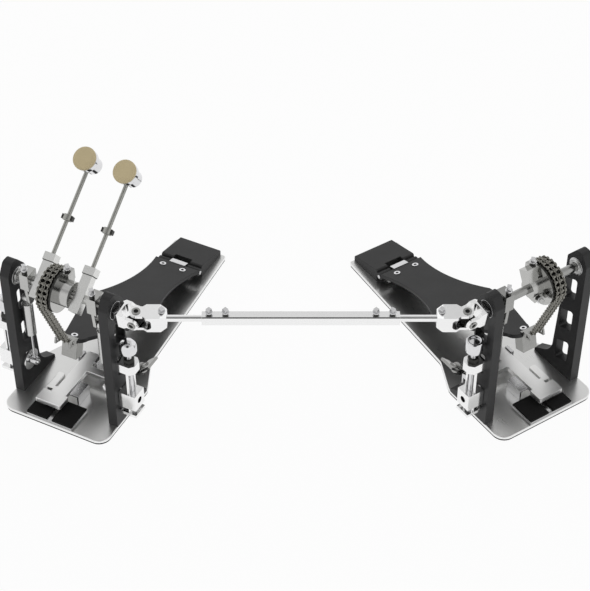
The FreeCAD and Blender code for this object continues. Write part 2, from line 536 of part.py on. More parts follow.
def key_screw(name, seat, turn=None, rise="key_rise"):
    """A square-headed screw that a drum key turns."""
    shank = rod(f"{name}_neck", (0, 0, 0), "key_shank", f"{rise} / 2")
    head = prism(f"{name}_head", (0, 0, f"{rise} / 2"), "key_head", f"{rise} / 2", 4)
    return place(fuse(name, shank, head), seat, turn)


def cam(pedal, side, label):
    """A smooth drum with a flange and a hub, and the block that clamps the chain's end."""
    chain = f"{-side} * {pedal}_chain_x"
    rim = "cam_radius - link_height / 2 - rim_gap"
    width = "chain_width + 2 * drum_side"
    flange = f"{pedal}_chain_x - ({width}) / 2"
    drum = rod(f"{pedal}_drum", (f"{chain} - ({width}) / 2", 0, "axle_height"), rim, width, "x")
    start = f"-({flange})" if side > 0 else f"({flange}) - flange_thickness"
    disc = rod(f"{pedal}_flange", (start, 0, "axle_height"), "cam_radius - rim_gap", "flange_thickness", "x")
    hub_start = f"{start} + flange_thickness" if side > 0 else f"{start} - hub_length"
    hub_size = "hub_radius" if side > 0 else "slave_hub"
    hub = rod(f"{pedal}_hub", (hub_start, 0, "axle_height"), hub_size, "hub_length", "x")
    x = f"{side} * (clamp_width / 2 - ({flange}))"
    y = "hub_radius - clamp_back"
    top = "axle_height + clamp_z + clamp_height / 2"
    extras = [key_screw(f"{pedal}_clamp_key", (x, y, top))]
    blocks = [drum, disc, hub, box(f"{pedal}_chain_clamp", (x, y, "axle_height + clamp_z"),
                                   ("clamp_width", "clamp_depth", "clamp_height"))]
    bore = rod(f"{pedal}_cam_bore", ("-base_width / 2", 0, "axle_height"), "axle_radius", "base_width", "x")
    tools = [bore]
    if pedal == "main":
        tools.append(rod("hub_bearing_bore", ("hub_split", 0, "axle_height"), "axle_radius + running_gap",
                         "base_width / 2", "x"))
    else:
        blocks.append(lever_block(start))
        middle = f"{start} - hub_length / 2"
        height = "axle_height - low_key"
        blocks.append(box("lever_ear", (middle, "low_ear / 2 - slave_hub", height), ("low_ear",) * 3))
        extras.append(key_screw("lever_key", (middle, "-slave_hub", height), Rotation(Vector(1, 0, 0), 90)))
    solid = cut(f"{pedal}_cam_solid", fuse(f"{pedal}_cam_blank", *blocks), *tools)
    node(label, [solid] + extras, pedal)


def lever_block(flange):
    """The slave cam's post and the flat lever beside its flange, leaned as the beaters' drive leans them."""
    lever = box("lever_bar", (f"{flange} - lever_thickness / 2", 0, "(lever_top - lever_tail) / 2"),
                ("lever_thickness", "lever_width", "lever_top + lever_tail"))
    block = box("lever_post", (f"{flange} - lever_thickness - post_block / 2", 0, "post_block_top / 2"),
                ("post_block", "post_block_depth", "post_block_top"))
    lean = Rotation(Vector(1, 0, 0), -S.lever_lean)
    return place(fuse("lever_set", lever, block), (0, 0, "axle_height"), lean)


def link_shape(outer, pin_length):
    """One pitch of double chain, from a pin at the origin to the next one along +Y."""
    width = S.chain_width
    thickness = S.link_plate
    pitch = S.chain_pitch
    inner_edge = width / 2 - thickness - S.plate_gap
    middle = thickness / 2 + S.plate_gap
    waist = S.link_height * S.link_waist
    if outer:
        starts = (-width / 2, -thickness / 2, width / 2 - thickness)
    else:
        starts = (-inner_edge, -middle - thickness, middle, inner_edge - thickness)
    along = Vector(1, 0, 0)
    solids = []
    for x in starts:
        solids.append(Part.makeBox(thickness, pitch, waist, Vector(x, 0, -waist / 2)))
        for y in (0, pitch):
            solids.append(Part.makeCylinder(S.link_height / 2, thickness, Vector(x, y, 0), along))
    for y, length in ((0, pin_length), (pitch, width)):
        if outer:
            solids.append(Part.makeCylinder(S.link_pin, length, Vector(-length / 2, y, 0), along))
        else:
            for x in (-inner_edge, middle):
                roller = Vector(x, y, 0)
                solids.append(Part.makeCylinder(S.link_roller, inner_edge - middle, roller, along))
    link = solids[0].multiFuse(solids[1:]).removeSplitter()
    if not outer:
        bores = [Part.makeCylinder(S.link_pin + S.link_gap, width, Vector(-width / 2, y, 0), along)
                 for y in (0, pitch)]
        link = link.cut(bores)
    return link


def chain(pedal, side):
    """The double roller chain: links on the cam, links that leave it, and the run down to the toe bracket."""
    stretches = (("chain_wrap", LOOSE_LINKS, LOOSE_LINKS + WRAP_LINKS), ("chain_links", 0, LOOSE_LINKS),
                 ("chain_run", -RUN_LINKS, 0))
    for name, first, last in stretches:
        solids = []
        for index in range(first, last):
            outer = (index + RUN_LINKS) % 2 == 0
            lowest = index == -RUN_LINKS
            link = link_shape(outer, S.chain_width + (2 * S.toe_pin_end if lowest else 0))
            start, end = chain_pin(index), chain_pin(index + 1)
            turn = math.degrees(math.atan2(end.z - start.z, end.y - start.y))
            link.Placement = Placement(start, Rotation(Vector(1, 0, 0), turn))
            solids += link.Solids
        links = doc.addObject("Part::Feature", f"{pedal}_{name}_links")
        links.Shape = Part.makeCompound(solids)
        place(links, (f"{-side} * {pedal}_chain_x", 0, 0))
        node(f"{pedal}_{name}", [links], pedal)


def axles():
    """Two short axles in line on the main pedal, and one long axle on the slave."""
    bearing = "base_width / 2 + axle_end"
    end = f"{JOINT_REACH} - fork_root - axle_split"
    height = "axle_height"
    primary = rod("primary_bar", (f"-({bearing})", 0, height), "axle_radius",
                  f"{bearing} + hub_split - axle_split", "x")
    node("primary_axle", [primary] + rocker("primary", f"-{ROCKER_X}", -1), "main")
    secondary = rod("secondary_bar", ("hub_split", 0, height), "axle_radius", f"{end} - hub_split", "x")
    node("secondary_axle", [secondary] + rocker("secondary", ROCKER_X, 1), "main")
    slave = rod("slave_bar", (f"-({end})", 0, height), "axle_radius", f"{end} + {bearing}", "x")
    node("slave_axle", [slave] + rocker("slave", f"-{ROCKER_X}", -1), "slave")


# Beaters, drawn upright over the axle and leaned back

def beater(name, x):
    base = (x, 0, "axle_height")
    size = "holder_size"
    bar = box(f"{name}_bar", (0, 0, "(holder_top - holder_tail) / 2"),
              (size, size, "holder_top + holder_tail"))
    wide = f"{size} + 2 * cap_edge"
    cap = box(f"{name}_cap", (0, 0, "holder_top - cap_length / 2"), (wide, wide, "cap_length"))
    axle_bore = rod(f"{name}_axle_bore", (f"-{size}", 0, 0), "axle_radius", f"2 * {size}", "x")
    shaft_bore = rod(f"{name}_shaft_bore", (0, 0, "axle_radius + bore_floor"),
                     "shaft_radius + running_gap", "holder_top")
    holder = cut(f"{name}_holder", fuse(f"{name}_holder_blank", bar, cap), axle_bore, shaft_bore)
    key_at = (0, f"{size} / 2 + cap_edge", "holder_top - cap_length / 2")
    key = key_screw(f"{name}_holder_key", key_at, TURNS["y"])
    node(f"{name}_beater_holder", [group(f"{name}_holder_set", [holder, key], base, LEAN_BACK)], "main")

    shaft = rod(f"{name}_shaft", (0, 0, "shaft_start"), "shaft_radius",
                "beater_length + shaft_end - shaft_start")
    collar = cut(f"{name}_collar_ring",
                 rod(f"{name}_collar_blank", (0, 0, "collar_at - collar_length / 2"), "collar_radius",
                     "collar_length"),
                 rod(f"{name}_collar_bore", (0, 0, "collar_at - collar_length"), "shaft_radius",
                     "2 * collar_length"))
    node(f"{name}_beater_shaft", [group(f"{name}_shaft_set", [shaft, collar], base, LEAN_BACK)], "main")

    front = "felt_front - felt_length"
    core = rod(f"{name}_head_core", (0, f"-({front})", "beater_length"), "head_radius",
               f"{front} + head_back", "y")
    dish = rod(f"{name}_head_dish", (0, f"-({front})", "beater_length"), "felt_radius - dish_rim",
               "dish_depth", "y")
    bore = rod(f"{name}_head_bore", (0, 0, "beater_length - 2 * head_radius"), "shaft_radius",
               "4 * head_radius")
    head = cut(f"{name}_head", fuse(f"{name}_head_blank", core, dish), bore)
    node(f"{name}_beater_head", [group(f"{name}_head_set", [head], base, LEAN_BACK)], "main")

    felt = rod(f"{name}_felt", (0, "-felt_front", "beater_length"), "felt_radius", "felt_length", "y")
    soft = doc.addObject("Part::Fillet", f"{name}_felt_soft")
    soft.Base = felt
    soft.Edges = [(edge, S.felt_round, S.felt_round) for edge in (1, 3)]
    node(f"{name}_beater_felt", [group(f"{name}_felt_set", [soft], base, LEAN_BACK)], "main")


# Spring cans and tension units

def spring_link(name, pedal, side):
    """A can that hangs from the rocker's pin, and a rod that slides in it and hooks on the anchor."""
    x = f"{side} * {CAN_X}"
    start = f"{x} - eye_width"
    tip = "axle_height - rocker_arm"
    top = f"{tip} - eye_radius - can_drop"
    mouth = "anchor_z + can_rise"
    length = f"{top} - ({mouth})"
    body = rod(f"{name}_can_body", (x, 0, mouth), "can_radius", length)
    lug = rod(f"{name}_can_eye", (f"{x} - eye_width / 2", 0, tip), "eye_radius", "eye_width", "x")
    neck = box(f"{name}_can_neck", (x, 0, f"{tip} - eye_radius - can_drop + 1"), ("neck_side",) * 3)
    bore = rod(f"{name}_can_bore", (x, 0, f"{mouth} - can_mouth"), "can_bore", f"{length} + can_floor")
    hole = rod(f"{name}_can_hole", (start, 0, tip), "pin_radius + running_gap", "2 * eye_width", "x")
    can = cut(f"{name}_can", fuse(f"{name}_can_blank", body, lug, neck), bore, hole)
    node(f"{name}_spring_can", [can], pedal)

    low_eye = rod(f"{name}_rod_eye", (f"{x} - eye_width / 2", 0, "anchor_z"), "eye_radius", "eye_width", "x")
    stem = rod(f"{name}_rod_stem", (x, 0, "anchor_z + can_drop"), "rod_radius",
               f"{tip} - eye_radius - rod_into_can - anchor_z")
    low_hole = rod(f"{name}_rod_hole", (start, 0, "anchor_z"), "pin_radius + running_gap",
                   "2 * eye_width", "x")
    pull = cut(f"{name}_rod", fuse(f"{name}_rod_blank", low_eye, stem), low_hole)
    node(f"{name}_spring_rod", [pull], pedal)


def tension_block(name, side):
    """The fixed part of a tension unit: upper block, two guide rods and the plate that holds their feet."""
    face = "base_width / 2"
    depth = "unit_out + block_width / 2"
    x = f"{side} * ({face} + ({depth}) / 2)"
    near = S.base_width / 2
    far = near + S.unit_out + S.block_width / 2
    half = S.block_width / 2
    slant = S.block_cut
    corners = [(near, -half), (far - slant, -half), (far, slant - half), (far, half - slant),
               (far - slant, half), (near, half)]
    octagon = rounded([(side * across, along) for across, along in corners], [0] * len(corners))
    block = plate(f"{name}_upper", octagon, "block_height", base=(0, 0, "block_z - block_height / 2"))
    lead = rod(f"{name}_lead_hole", (f"{side} * {UNIT_X}", 0, "block_z - block_height"),
               "lead_radius + running_gap", "2 * block_height")
    low = "anchor_z - carriage_height / 2 - foot_drop"
    foot = box(f"{name}_foot", (x, 0, low), (depth, "block_width", "foot_height"))
    guides = []
    for index, sign in enumerate((-1, 1)):
        guides.append(rod(f"{name}_guide_{index}", (f"{side} * {UNIT_X}", f"{sign} * rail_spread", low),
                          "rail_radius", f"block_z - ({low})"))
    return cut(f"{name}_block", fuse(f"{name}_block_blank", block, foot, *guides), lead)


def tension_moving(name, pedal, side):
    """A knob with lead screw and lock nut, and the carriage it lifts, with its anchor through the post."""
    x = f"{side} * {UNIT_X}"
    knob = rod(f"{name}_knob", (x, 0, "knob_z"), "knob_radius", "knob_height")
    lead = rod(f"{name}_lead", (x, 0, "anchor_z - carriage_height / 2 + lead_end"), "lead_radius",
               "knob_z - anchor_z + carriage_height / 2")
    nut = prism(f"{name}_nut", (x, 0, "block_z + block_height / 2 + nut_gap"), "nut_flats", "nut_height")
    node(f"{name}_tension_screw", [fuse(f"{name}_screw", knob, lead, nut)], pedal)

    face = "base_width / 2 + carriage_gap"
    depth = "unit_out - carriage_gap + block_width / 2"
    block = box(f"{name}_carriage_blank", (f"{side} * ({face} + ({depth}) / 2)", 0, "anchor_z"),
                (depth, "block_width", "carriage_height"))
    tools = [rod(f"{name}_lead_nut", (x, 0, "anchor_z - carriage_height"), "lead_radius + running_gap",
                 "2 * carriage_height")]
    for index, sign in enumerate((-1, 1)):
        tools.append(rod(f"{name}_guide_bore_{index}",
                         (x, f"{sign} * rail_spread", "anchor_z - carriage_height"),
                         "rail_radius + running_gap", "2 * carriage_height"))
    outer = f"{UNIT_X} + block_width / 2"
    tools.append(rod(f"{name}_carriage_hole",
                     (f"{side} * ({outer}) - {(1 + side) // 2} * carriage_hole_depth", 0, "anchor_z"),
                     "carriage_hole", "carriage_hole_depth", "x"))
    inner = (1 + side) // 2
    length = "post_thickness + 2 * shank_end + 2 * carriage_gap"
    shank = rod(f"{name}_shank", (f"{side} * ({face} + shank_end) - {inner} * ({length})", 0, "anchor_z"),
                "anchor_shank", length, "x")
    inside = "base_width / 2 - post_thickness - carriage_gap"
    disc = rod(f"{name}_disc", (f"{side} * ({inside}) - {inner} * disc_length", 0, "anchor_z"), "anchor_disc",
               "disc_length", "x")
    reach = f"{inside} - {CAN_X} + anchor_end"
    pin = rod(f"{name}_anchor_pin", (f"{side} * ({inside}) - {inner} * ({reach})", 0, "anchor_z"),
              "pin_radius", reach, "x")
    solid = fuse(f"{name}_carriage", cut(f"{name}_carriage_block", block, *tools), shank, disc, pin)
    node(f"{name}_tension_carriage", [solid], pedal)


# Universal joints and the telescoping shaft

def yoke_side(length):
    """Seen across the pin: two ears, a round-ended gap between them and a boss with cut corners."""
    outer = S.ear_inside + S.ear_thickness
    inner, root, end = S.ear_inside, -S.fork_root, -length
    slope = S.yoke_neck / 2
    points = [(S.ear_half, inner), (S.ear_half, outer), (end + S.yoke_neck, outer), (end, outer - slope),
              (end, slope - outer), (end + S.yoke_neck, -outer), (S.ear_half, -outer), (S.ear_half, -inner),
              (root, -inner), (root, inner)]
    return rounded(points, [0, 0] + [S.yoke_round] * 4 + [0, 0, S.fork_round, S.fork_round])


def yoke_top(length):
    """Seen along the pin: round about the pin, wide at the boss and cut in to the neck."""
    narrow, wide, end = S.ear_half, S.yoke_size / 2, -length
    neck = wide - S.yoke_neck / 2
    flare = -narrow - S.ear_flare
    points = [(narrow, -narrow), (narrow, narrow), (-narrow, narrow), (flare, wide),
              (end + S.yoke_neck, wide), (end, neck), (end, -neck), (end + S.yoke_neck, -wide),
              (flare, -wide), (-narrow, -narrow)]
    round_end = narrow - S.running_gap
    return rounded(points, [round_end, round_end] + [S.yoke_round] * 8)


def yoke(name, length, shank_radius, pin_gap, turn, base):
    """A fork about its pin on z, with its boss and socket running off along -x."""
    ear = "ear_inside + ear_thickness"
    reach = getattr(S, length)
    across = plate(f"{name}_side", yoke_side(reach), "yoke_size", "XZ_Plane", (0, "yoke_size / 2", 0))
    along = plate(f"{name}_top", yoke_top(reach), f"2 * ({ear})", "XY_Plane", (0, 0, f"-({ear})"))
    blank = doc.addObject("Part::MultiCommon", f"{name}_blank")
    blank.Shapes = [across, along]
    bore = rod(f"{name}_pin_bore", (0, 0, "-2 * ear_inside"), f"cross_pin + {pin_gap}", "4 * ear_inside")
    socket = rod(f"{name}_socket", (f"-2 * {length}", 0, 0), shank_radius,
                 f"2 * {length} - fork_root - socket_end", "x")
    return place(cut(name, blank, bore, socket), base, turn)


def joint_axes(pedal):
    """Pin directions of a joint at rest, in the row frame: the axle yoke's pin and the shaft yoke's pin."""
    yaw = -S.yaw_main if pedal == "main" else S.yaw_slave
    phase = math.radians(S.joint_phase)
    axle_pin = Rotation(Vector(0, 0, 1), yaw).multVec(Vector(0, -math.sin(phase), math.cos(phase)))
    shaft_pin = Vector(1, 0, 0).cross(axle_pin).normalize()
    return axle_pin, shaft_pin


def drive():
    """Axle yokes, crosses, shaft yokes with their rods, and the square tube with its key screws."""
    about_x = Rotation(Vector(1, 0, 0), S.joint_phase)
    half_turn = Rotation(Vector(0, 0, 1), 180)
    for pedal, side in SIDES.items():
        turn = about_x if side > 0 else about_x * half_turn
        fork_at = (f"{side} * {JOINT_REACH}", 0, "axle_height")
        axle_fork = yoke(f"{pedal}_axle_fork", "axle_yoke_length", "axle_radius", "running_gap",
                         turn, fork_at)
        node(f"{pedal}_axle_yoke", [axle_fork], pedal)

        axle_pin, shaft_pin = joint_axes(pedal)
        centre = (0 if side > 0 else "shaft_span", 0, 0)
        core = box(f"{pedal}_cross_core", (0, 0, 0), ("2 * cross_half",) * 3)
        reach = "2 * (ear_inside + ear_thickness)"
        arms = [rod(f"{pedal}_cross_{axis}", [f"-({reach}) / 2" if name == axis else 0 for name in "xyz"],
                    "cross_pin", reach, axis) for axis in "yz"]
        cross = fuse(f"{pedal}_cross_solid", core, *arms)
        turn = Rotation(shaft_pin.cross(axle_pin), shaft_pin, axle_pin, "ZXY")
        node(f"{pedal}_joint_cross", [place(cross, centre, turn)], "shaft")

        spin = math.degrees(math.atan2(-shaft_pin.y, shaft_pin.z))
        turn = Rotation(Vector(1, 0, 0), spin)
        if side > 0:
            turn = turn * half_turn
        shaft_fork = yoke(f"{pedal}_shaft_fork", "yoke_length", "drive_radius", "open_pin_gap", turn, centre)
        start = "fork_root + socket_end"
        if side > 0:
            bar = rod("main_drive_bar", (start, 0, 0), "drive_radius",
                      f"tube_start + rod_in_tube - ({start})", "x")
        else:
            low = f"tube_start + {TUBE_LENGTH} - rod_in_tube"
            bar = rod("slave_drive_bar", (low, 0, 0), "drive_radius",
                      f"shaft_span - ({start}) - ({low})", "x")
        node(f"drive_{pedal}_rod", [shaft_fork, bar], "shaft")

    middle = f"tube_start + {TUBE_LENGTH} / 2"
    square = box("tube_square", (middle, 0, 0), (TUBE_LENGTH, "tube_side", "tube_side"))
    bore = rod("tube_hole", ("tube_start", 0, 0), "tube_bore", TUBE_LENGTH, "x")
    keys = []
    for index, step in enumerate(("key_inset", "key_inset + key_spacing")):
        for end, x in (("main", f"tube_start + {step}"), ("slave", f"tube_start + {TUBE_LENGTH} - ({step})")):
            keys.append(key_screw(f"tube_key_{end}_{index}", (x, 0, "tube_side / 2")))
    node("drive_tube", [cut("tube", square, bore)] + keys, "shaft")


def pedal_frame(pedal):
    side = SIDES[pedal]
    base_plate(pedal)
    rubber_pads(pedal, side)
    post(pedal, "outer", -side)
    post(pedal, "inner", side)
    heel_plate(pedal)
    frame_hardware(pedal, side)
    hoop_jaw(pedal, side)
    hoop_screw(pedal, side)
    footboard(pedal, side)
    toe_bracket(pedal, side)
    chain(pedal, side)


def build():
    for pedal in SIDES:
        pedal_frame(pedal)
    cam("main", 1, "primary_cam")
    cam("slave", -1, "slave_cam")
    axles()
    beater("primary", "primary_x")
    beater("secondary", "secondary_x")
    for name, pedal, side in (("primary", "main", -1), ("secondary", "main", 1), ("slave", "slave", -1)):
        spring_link(name, pedal, side)
        tension_moving(name, pedal, side)
    node("main_tension_blocks", [tension_block("primary", -1), tension_block("secondary", 1)], "main")
    node("slave_tension_block", [tension_block("slave", -1)], "slave")
    drive()


build()
doc.recompute()

faults = [item.Name for item in doc.Objects if "Invalid" in item.State or "Error" in item.State]
faults += [item.Label for item in nodes if item.Shape.isNull() or not item.Shape.isValid()]
if faults:
    raise RuntimeError("failed: " + ", ".join(faults))
os.makedirs("parts", exist_ok=True)
for item in nodes:
    item.Shape.exportStep(f"parts/{item.Label}.step")
print(len(nodes), "nodes;", "board slope", round(math.degrees(BOARD_SLOPE), 2), "toe pin", TOE_PIN)
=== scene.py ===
import json
import math
import bmesh
import bpy
from mathutils import Matrix, Vector


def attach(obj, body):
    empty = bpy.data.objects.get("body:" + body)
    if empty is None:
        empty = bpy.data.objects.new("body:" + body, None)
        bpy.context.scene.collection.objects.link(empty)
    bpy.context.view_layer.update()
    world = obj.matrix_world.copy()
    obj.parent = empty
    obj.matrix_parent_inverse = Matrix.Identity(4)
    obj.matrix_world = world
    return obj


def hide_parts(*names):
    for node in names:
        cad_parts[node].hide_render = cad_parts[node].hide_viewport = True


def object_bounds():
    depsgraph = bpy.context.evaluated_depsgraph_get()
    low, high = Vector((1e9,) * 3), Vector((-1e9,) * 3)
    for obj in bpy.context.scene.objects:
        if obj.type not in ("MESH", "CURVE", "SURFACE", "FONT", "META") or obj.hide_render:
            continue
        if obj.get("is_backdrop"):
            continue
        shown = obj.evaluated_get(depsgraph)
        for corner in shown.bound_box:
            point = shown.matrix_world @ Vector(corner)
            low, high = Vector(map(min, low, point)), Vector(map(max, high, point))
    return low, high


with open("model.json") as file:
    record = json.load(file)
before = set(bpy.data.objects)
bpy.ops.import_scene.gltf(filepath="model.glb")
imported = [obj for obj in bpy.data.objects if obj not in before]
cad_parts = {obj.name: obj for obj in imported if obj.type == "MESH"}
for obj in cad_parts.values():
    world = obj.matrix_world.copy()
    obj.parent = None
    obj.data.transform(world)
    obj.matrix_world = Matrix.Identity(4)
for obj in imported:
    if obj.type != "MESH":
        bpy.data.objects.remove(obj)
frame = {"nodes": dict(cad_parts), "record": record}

cad_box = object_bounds()


# Base plates. Each pedal stands on a 4 mm plate of stainless steel, cut wide at the drum and narrow at the
# heel and brushed along its length. A thin rubber mat is glued under it.
MM = 0.001
MAIN_TURN, SLAVE_TURN = math.radians(-27.0), math.radians(33.6)
SPOTS = {
    "main": Matrix.Rotation(MAIN_TURN, 4, "Z"),
    "slave": Matrix.Translation((527.221, 9.642, 0.0)) @ Matrix.Rotation(SLAVE_TURN, 4, "Z"),
}
PLATE_TOP = 5.9
BLOTCH = 22.0
SHARP = math.radians(32.0)
WELD, FLAT = 0.002, math.radians(0.5)
LONG_EDGE, RIGHT_ANGLE = 60.0, math.radians(80.0)
BODY_OF = {node: body for body, nodes in frame["record"]["behaviour"]["bodies"].items() for node in nodes}
SLOT_OF = {part["node"]: part["material_slot"] for part in frame["record"]["subparts"]}


def linear(code):
    """An sRGB hex colour as linear red, green, blue and alpha."""
    parts = [int(code[at:at + 2], 16) / 255 for at in (1, 3, 5)]
    return [part / 12.92 if part <= 0.04045 else ((part + 0.055) / 1.055) ** 2.4 for part in parts] + [1.0]


def add(tree, kind, sockets=None, **settings):
    """Adds a node; a socket takes a value, or a link from another node's output."""
    made = tree.nodes.new(kind)
    for key, value in settings.items():
        setattr(made, key, value)
    for key, value in (sockets or {}).items():
        if isinstance(value, bpy.types.NodeSocket):
            tree.links.new(value, made.inputs[key])
        else:
            made.inputs[key].default_value = value
    return made


def grained(name, shades, metallic, gloss, size, depth, turn=0.0, tilt=0.0, shine=0.5):
    """A finish whose tone, roughness and relief vary over a grain of the given size in millimetres."""
    finish = bpy.data.materials.new(name)
    finish.use_nodes = True
    tree = finish.node_tree
    tree.nodes.clear()
    spot = add(tree, "ShaderNodeTexCoord").outputs["Object"]
    aimed = add(tree, "ShaderNodeMapping", {"Vector": spot, "Rotation": (tilt, 0.0, turn)})
    scale = [1.0 / (side * MM) for side in size]
    laid = add(tree, "ShaderNodeMapping", {"Vector": aimed.outputs[0], "Scale": scale})
    fine = add(tree, "ShaderNodeTexNoise", {"Vector": laid.outputs[0], "Scale": 1.0, "Detail": 3.0})
    broad = add(tree, "ShaderNodeTexNoise", {"Vector": spot, "Scale": 1.0 / (BLOTCH * MM), "Detail": 2.0})
    both = add(tree, "ShaderNodeMix", {"Factor": 0.4, "A": fine.outputs[0], "B": broad.outputs[0]})
    tone = add(tree, "ShaderNodeMix", {0: both.outputs[0], 6: linear(shades[0]), 7: linear(shades[1])},
               data_type="RGBA")
    rough = add(tree, "ShaderNodeMapRange", {"Value": both.outputs[0], "From Min": 0.3, "From Max": 0.7,
                                             "To Min": gloss[0], "To Max": gloss[1]})
    relief = add(tree, "ShaderNodeBump", {"Height": fine.outputs[0], "Strength": 1.0, "Distance": depth * MM})
    shader = add(tree, "ShaderNodeBsdfPrincipled", {"Base Color": tone.outputs[2], "Metallic": metallic,
                                                    "Roughness": rough.outputs[0], "Specular IOR Level": shine,
                                                    "Normal": relief.outputs[0]})
    add(tree, "ShaderNodeOutputMaterial", {"Surface": shader.outputs[0]})
    return finish


def finished(name, shape, finishes, edge):
    """Makes a mesh object of a shape in metres, with smooth faces and its edges broken by a small round."""
    mesh = bpy.data.meshes.new(name)
    shape.to_mesh(mesh)
    shape.free()
    if "custom_normal" in mesh.attributes:
        mesh.attributes.remove(mesh.attributes["custom_normal"])
    for finish in finishes:
        mesh.materials.append(finish)
    mesh.shade_smooth()
    mesh.set_sharp_from_angle(angle=SHARP)
    piece = bpy.data.objects.new(name, mesh)
    bpy.context.scene.collection.objects.link(piece)
    if edge:
        broken = piece.modifiers.new("broken_edges", "BEVEL")
        broken.width = edge * MM
        broken.segments = 2
        broken.limit_method = "ANGLE"
        broken.angle_limit = SHARP
        even = piece.modifiers.new("even_normals", "WEIGHTED_NORMAL")
        even.keep_sharp = True
    return piece


def carried(piece, body, slot):
    """Fixes a piece to a moving body; its slot is not used."""
    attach(piece, body)


def stands_for(piece, node):
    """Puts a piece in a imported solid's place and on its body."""
    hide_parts(node)
    carried(piece, BODY_OF[node], SLOT_OF[node])


def islands(shape):
    """The separate lumps of a shape, each a list of its vertices."""
    left = set(shape.verts)
    while left:
        lump, front = [], [left.pop()]
        while front:
            vert = front.pop()
            lump.append(vert)
            for edge in vert.link_edges:
                other = edge.other_vert(vert)
                if other in left:
                    left.remove(other)
                    front.append(other)
        yield lump


def dressed(node, finishes, edge, pick=None, home=Matrix(), smallest=0.0, chamfer=0.0):
    """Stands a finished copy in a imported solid's place. A pick takes a face's corners, in millimetres from
    home, and gives the number of its finish; lumps under the smallest size are made elsewhere."""
    shape = bmesh.new()
    shape.from_mesh(frame["nodes"][node].data)
    bmesh.ops.remove_doubles(shape, verts=shape.verts, dist=WELD * MM)
    bmesh.ops.dissolve_limit(shape, angle_limit=FLAT, verts=shape.verts[:], edges=shape.edges[:])
    if smallest:
        for lump in list(islands(shape)):
            spans = [max(v.co[axis] for v in lump) - min(v.co[axis] for v in lump) for axis in range(3)]
            if max(spans) < smallest * MM:
                bmesh.ops.delete(shape, geom=lump, context="VERTS")
    if chamfer:
        ridges = [edge for edge in shape.edges if edge.calc_length() > LONG_EDGE * MM
                  and edge.calc_face_angle_signed(0.0) > RIGHT_ANGLE]
        bmesh.ops.bevel(shape, geom=ridges, offset=chamfer * MM, segments=1, affect="EDGES")
    back = home.inverted()
    for face in shape.faces:
        corners = [back @ (vert.co / MM) for vert in face.verts]
        face.material_index = pick(corners) if pick else 0
    stands_for(finished(node + "_finish", shape, finishes, edge), node)


def on_edge(corners):
    """All but the plate's upper face."""
    return int(min(at.z for at in corners) < PLATE_TOP)


# Stainless steel, cut and polished on the edge: paler than the brushed face, with a waviness of 3 mm.
edge_steel = grained("polished_stainless_edge", ("#e6e6e6", "#f4f4f4"), 1.0, (0.12, 0.2), (3.0, 3.0, 3.0),
                     0.006)
for pedal, spot in SPOTS.items():
    # Stainless steel, brushed: grey metal with lines along the pedal, 0.2 mm wide, drawn 0.7 mm wide to show.
    plate_steel = grained(f"brushed_stainless_{pedal}", ("#e2e2e1", "#eaeae9"), 1.0, (0.27, 0.3),
                          (0.7, 45.0, 0.7), 0.0003, turn=-spot.to_euler().z)
    dressed(f"{pedal}_base_plate", [plate_steel, edge_steel], 0.8, pick=on_edge)


# Rubber pads. Two strips of soft black rubber lie on a bright seat, and the drum's hoop stands on them. The mat
# under the base plate is of the same rubber. All are moulded and glued on.
# Black nitrile rubber, moulded: no gloss, a fine pebble of 0.9 mm that only shows where light grazes it.
rubber = grained("moulded_black_rubber", ("#0c0c0c", "#131313"), 0.0, (0.75, 0.9), (0.9, 0.9, 0.9), 0.05,
                 shine=0.25)
for pedal in SPOTS:
    dressed(f"{pedal}_rubber_pads", [rubber], 0.5)


# Posts. Two uprights for each pedal, cut from 12 mm aluminium with three windows and a flared foot. They are
# screwed to the base from below, and each holds a flanged ball bearing for the axle, black beside the joint.
INNER = {"main": 1, "slave": -1}
AXLE_HEIGHT = 175.0
POST_FACES = (58.0, 70.0)
FLANGE = [(5.5, 0.0), (10.4, 0.0), (10.4, 0.7), (9.7, 1.0), (8.2, 1.0), (7.9, 0.6), (6.6, 0.6), (6.3, 1.0),
          (5.5, 1.0)]


def turned(profile, place, sides=48, shape=None):
    """Turns a profile of radius and height about z, and stands it at a place given in millimetres."""
    shape = shape or bmesh.new()
    rings = []
    for radius, height in profile:
        count = sides if radius > 0 else 1
        ring = []
        for step in range(count):
            angle = 2 * math.pi * step / sides
            spot = Vector((radius * math.cos(angle), radius * math.sin(angle), height))
            ring.append(shape.verts.new((place @ spot) * MM))
        rings.append(ring)
    closed = profile[0][0] > 0 and profile[-1][0] > 0
    pairs = list(zip(rings, rings[1:])) + ([(rings[-1], rings[0])] if closed else [])
    for low, high in pairs:
        for step in range(sides):
            after = (step + 1) % sides
            corners = [low[step % len(low)], low[after % len(low)],
                       high[after % len(high)], high[step % len(high)]]
            corners = [vert for at, vert in enumerate(corners) if vert not in corners[:at]]
            if len(corners) > 2:
                shape.faces.new(corners)
    bmesh.ops.recalc_face_normals(shape, faces=shape.faces)
    return shape


def along(direction):
    """The turn that takes +z to a direction."""
    return Vector((0, 0, 1)).rotation_difference(Vector(direction)).to_matrix().to_4x4()


# Aluminium, bead blasted and anodised black: a soft grey sheen, with pits of 0.5 mm that only just show.
black = grained("black_anodised_aluminium", ("#171718", "#1f1f20"), 0.0, (0.42, 0.58), (0.5, 0.5, 0.5), 0.01,
                shine=0.4)
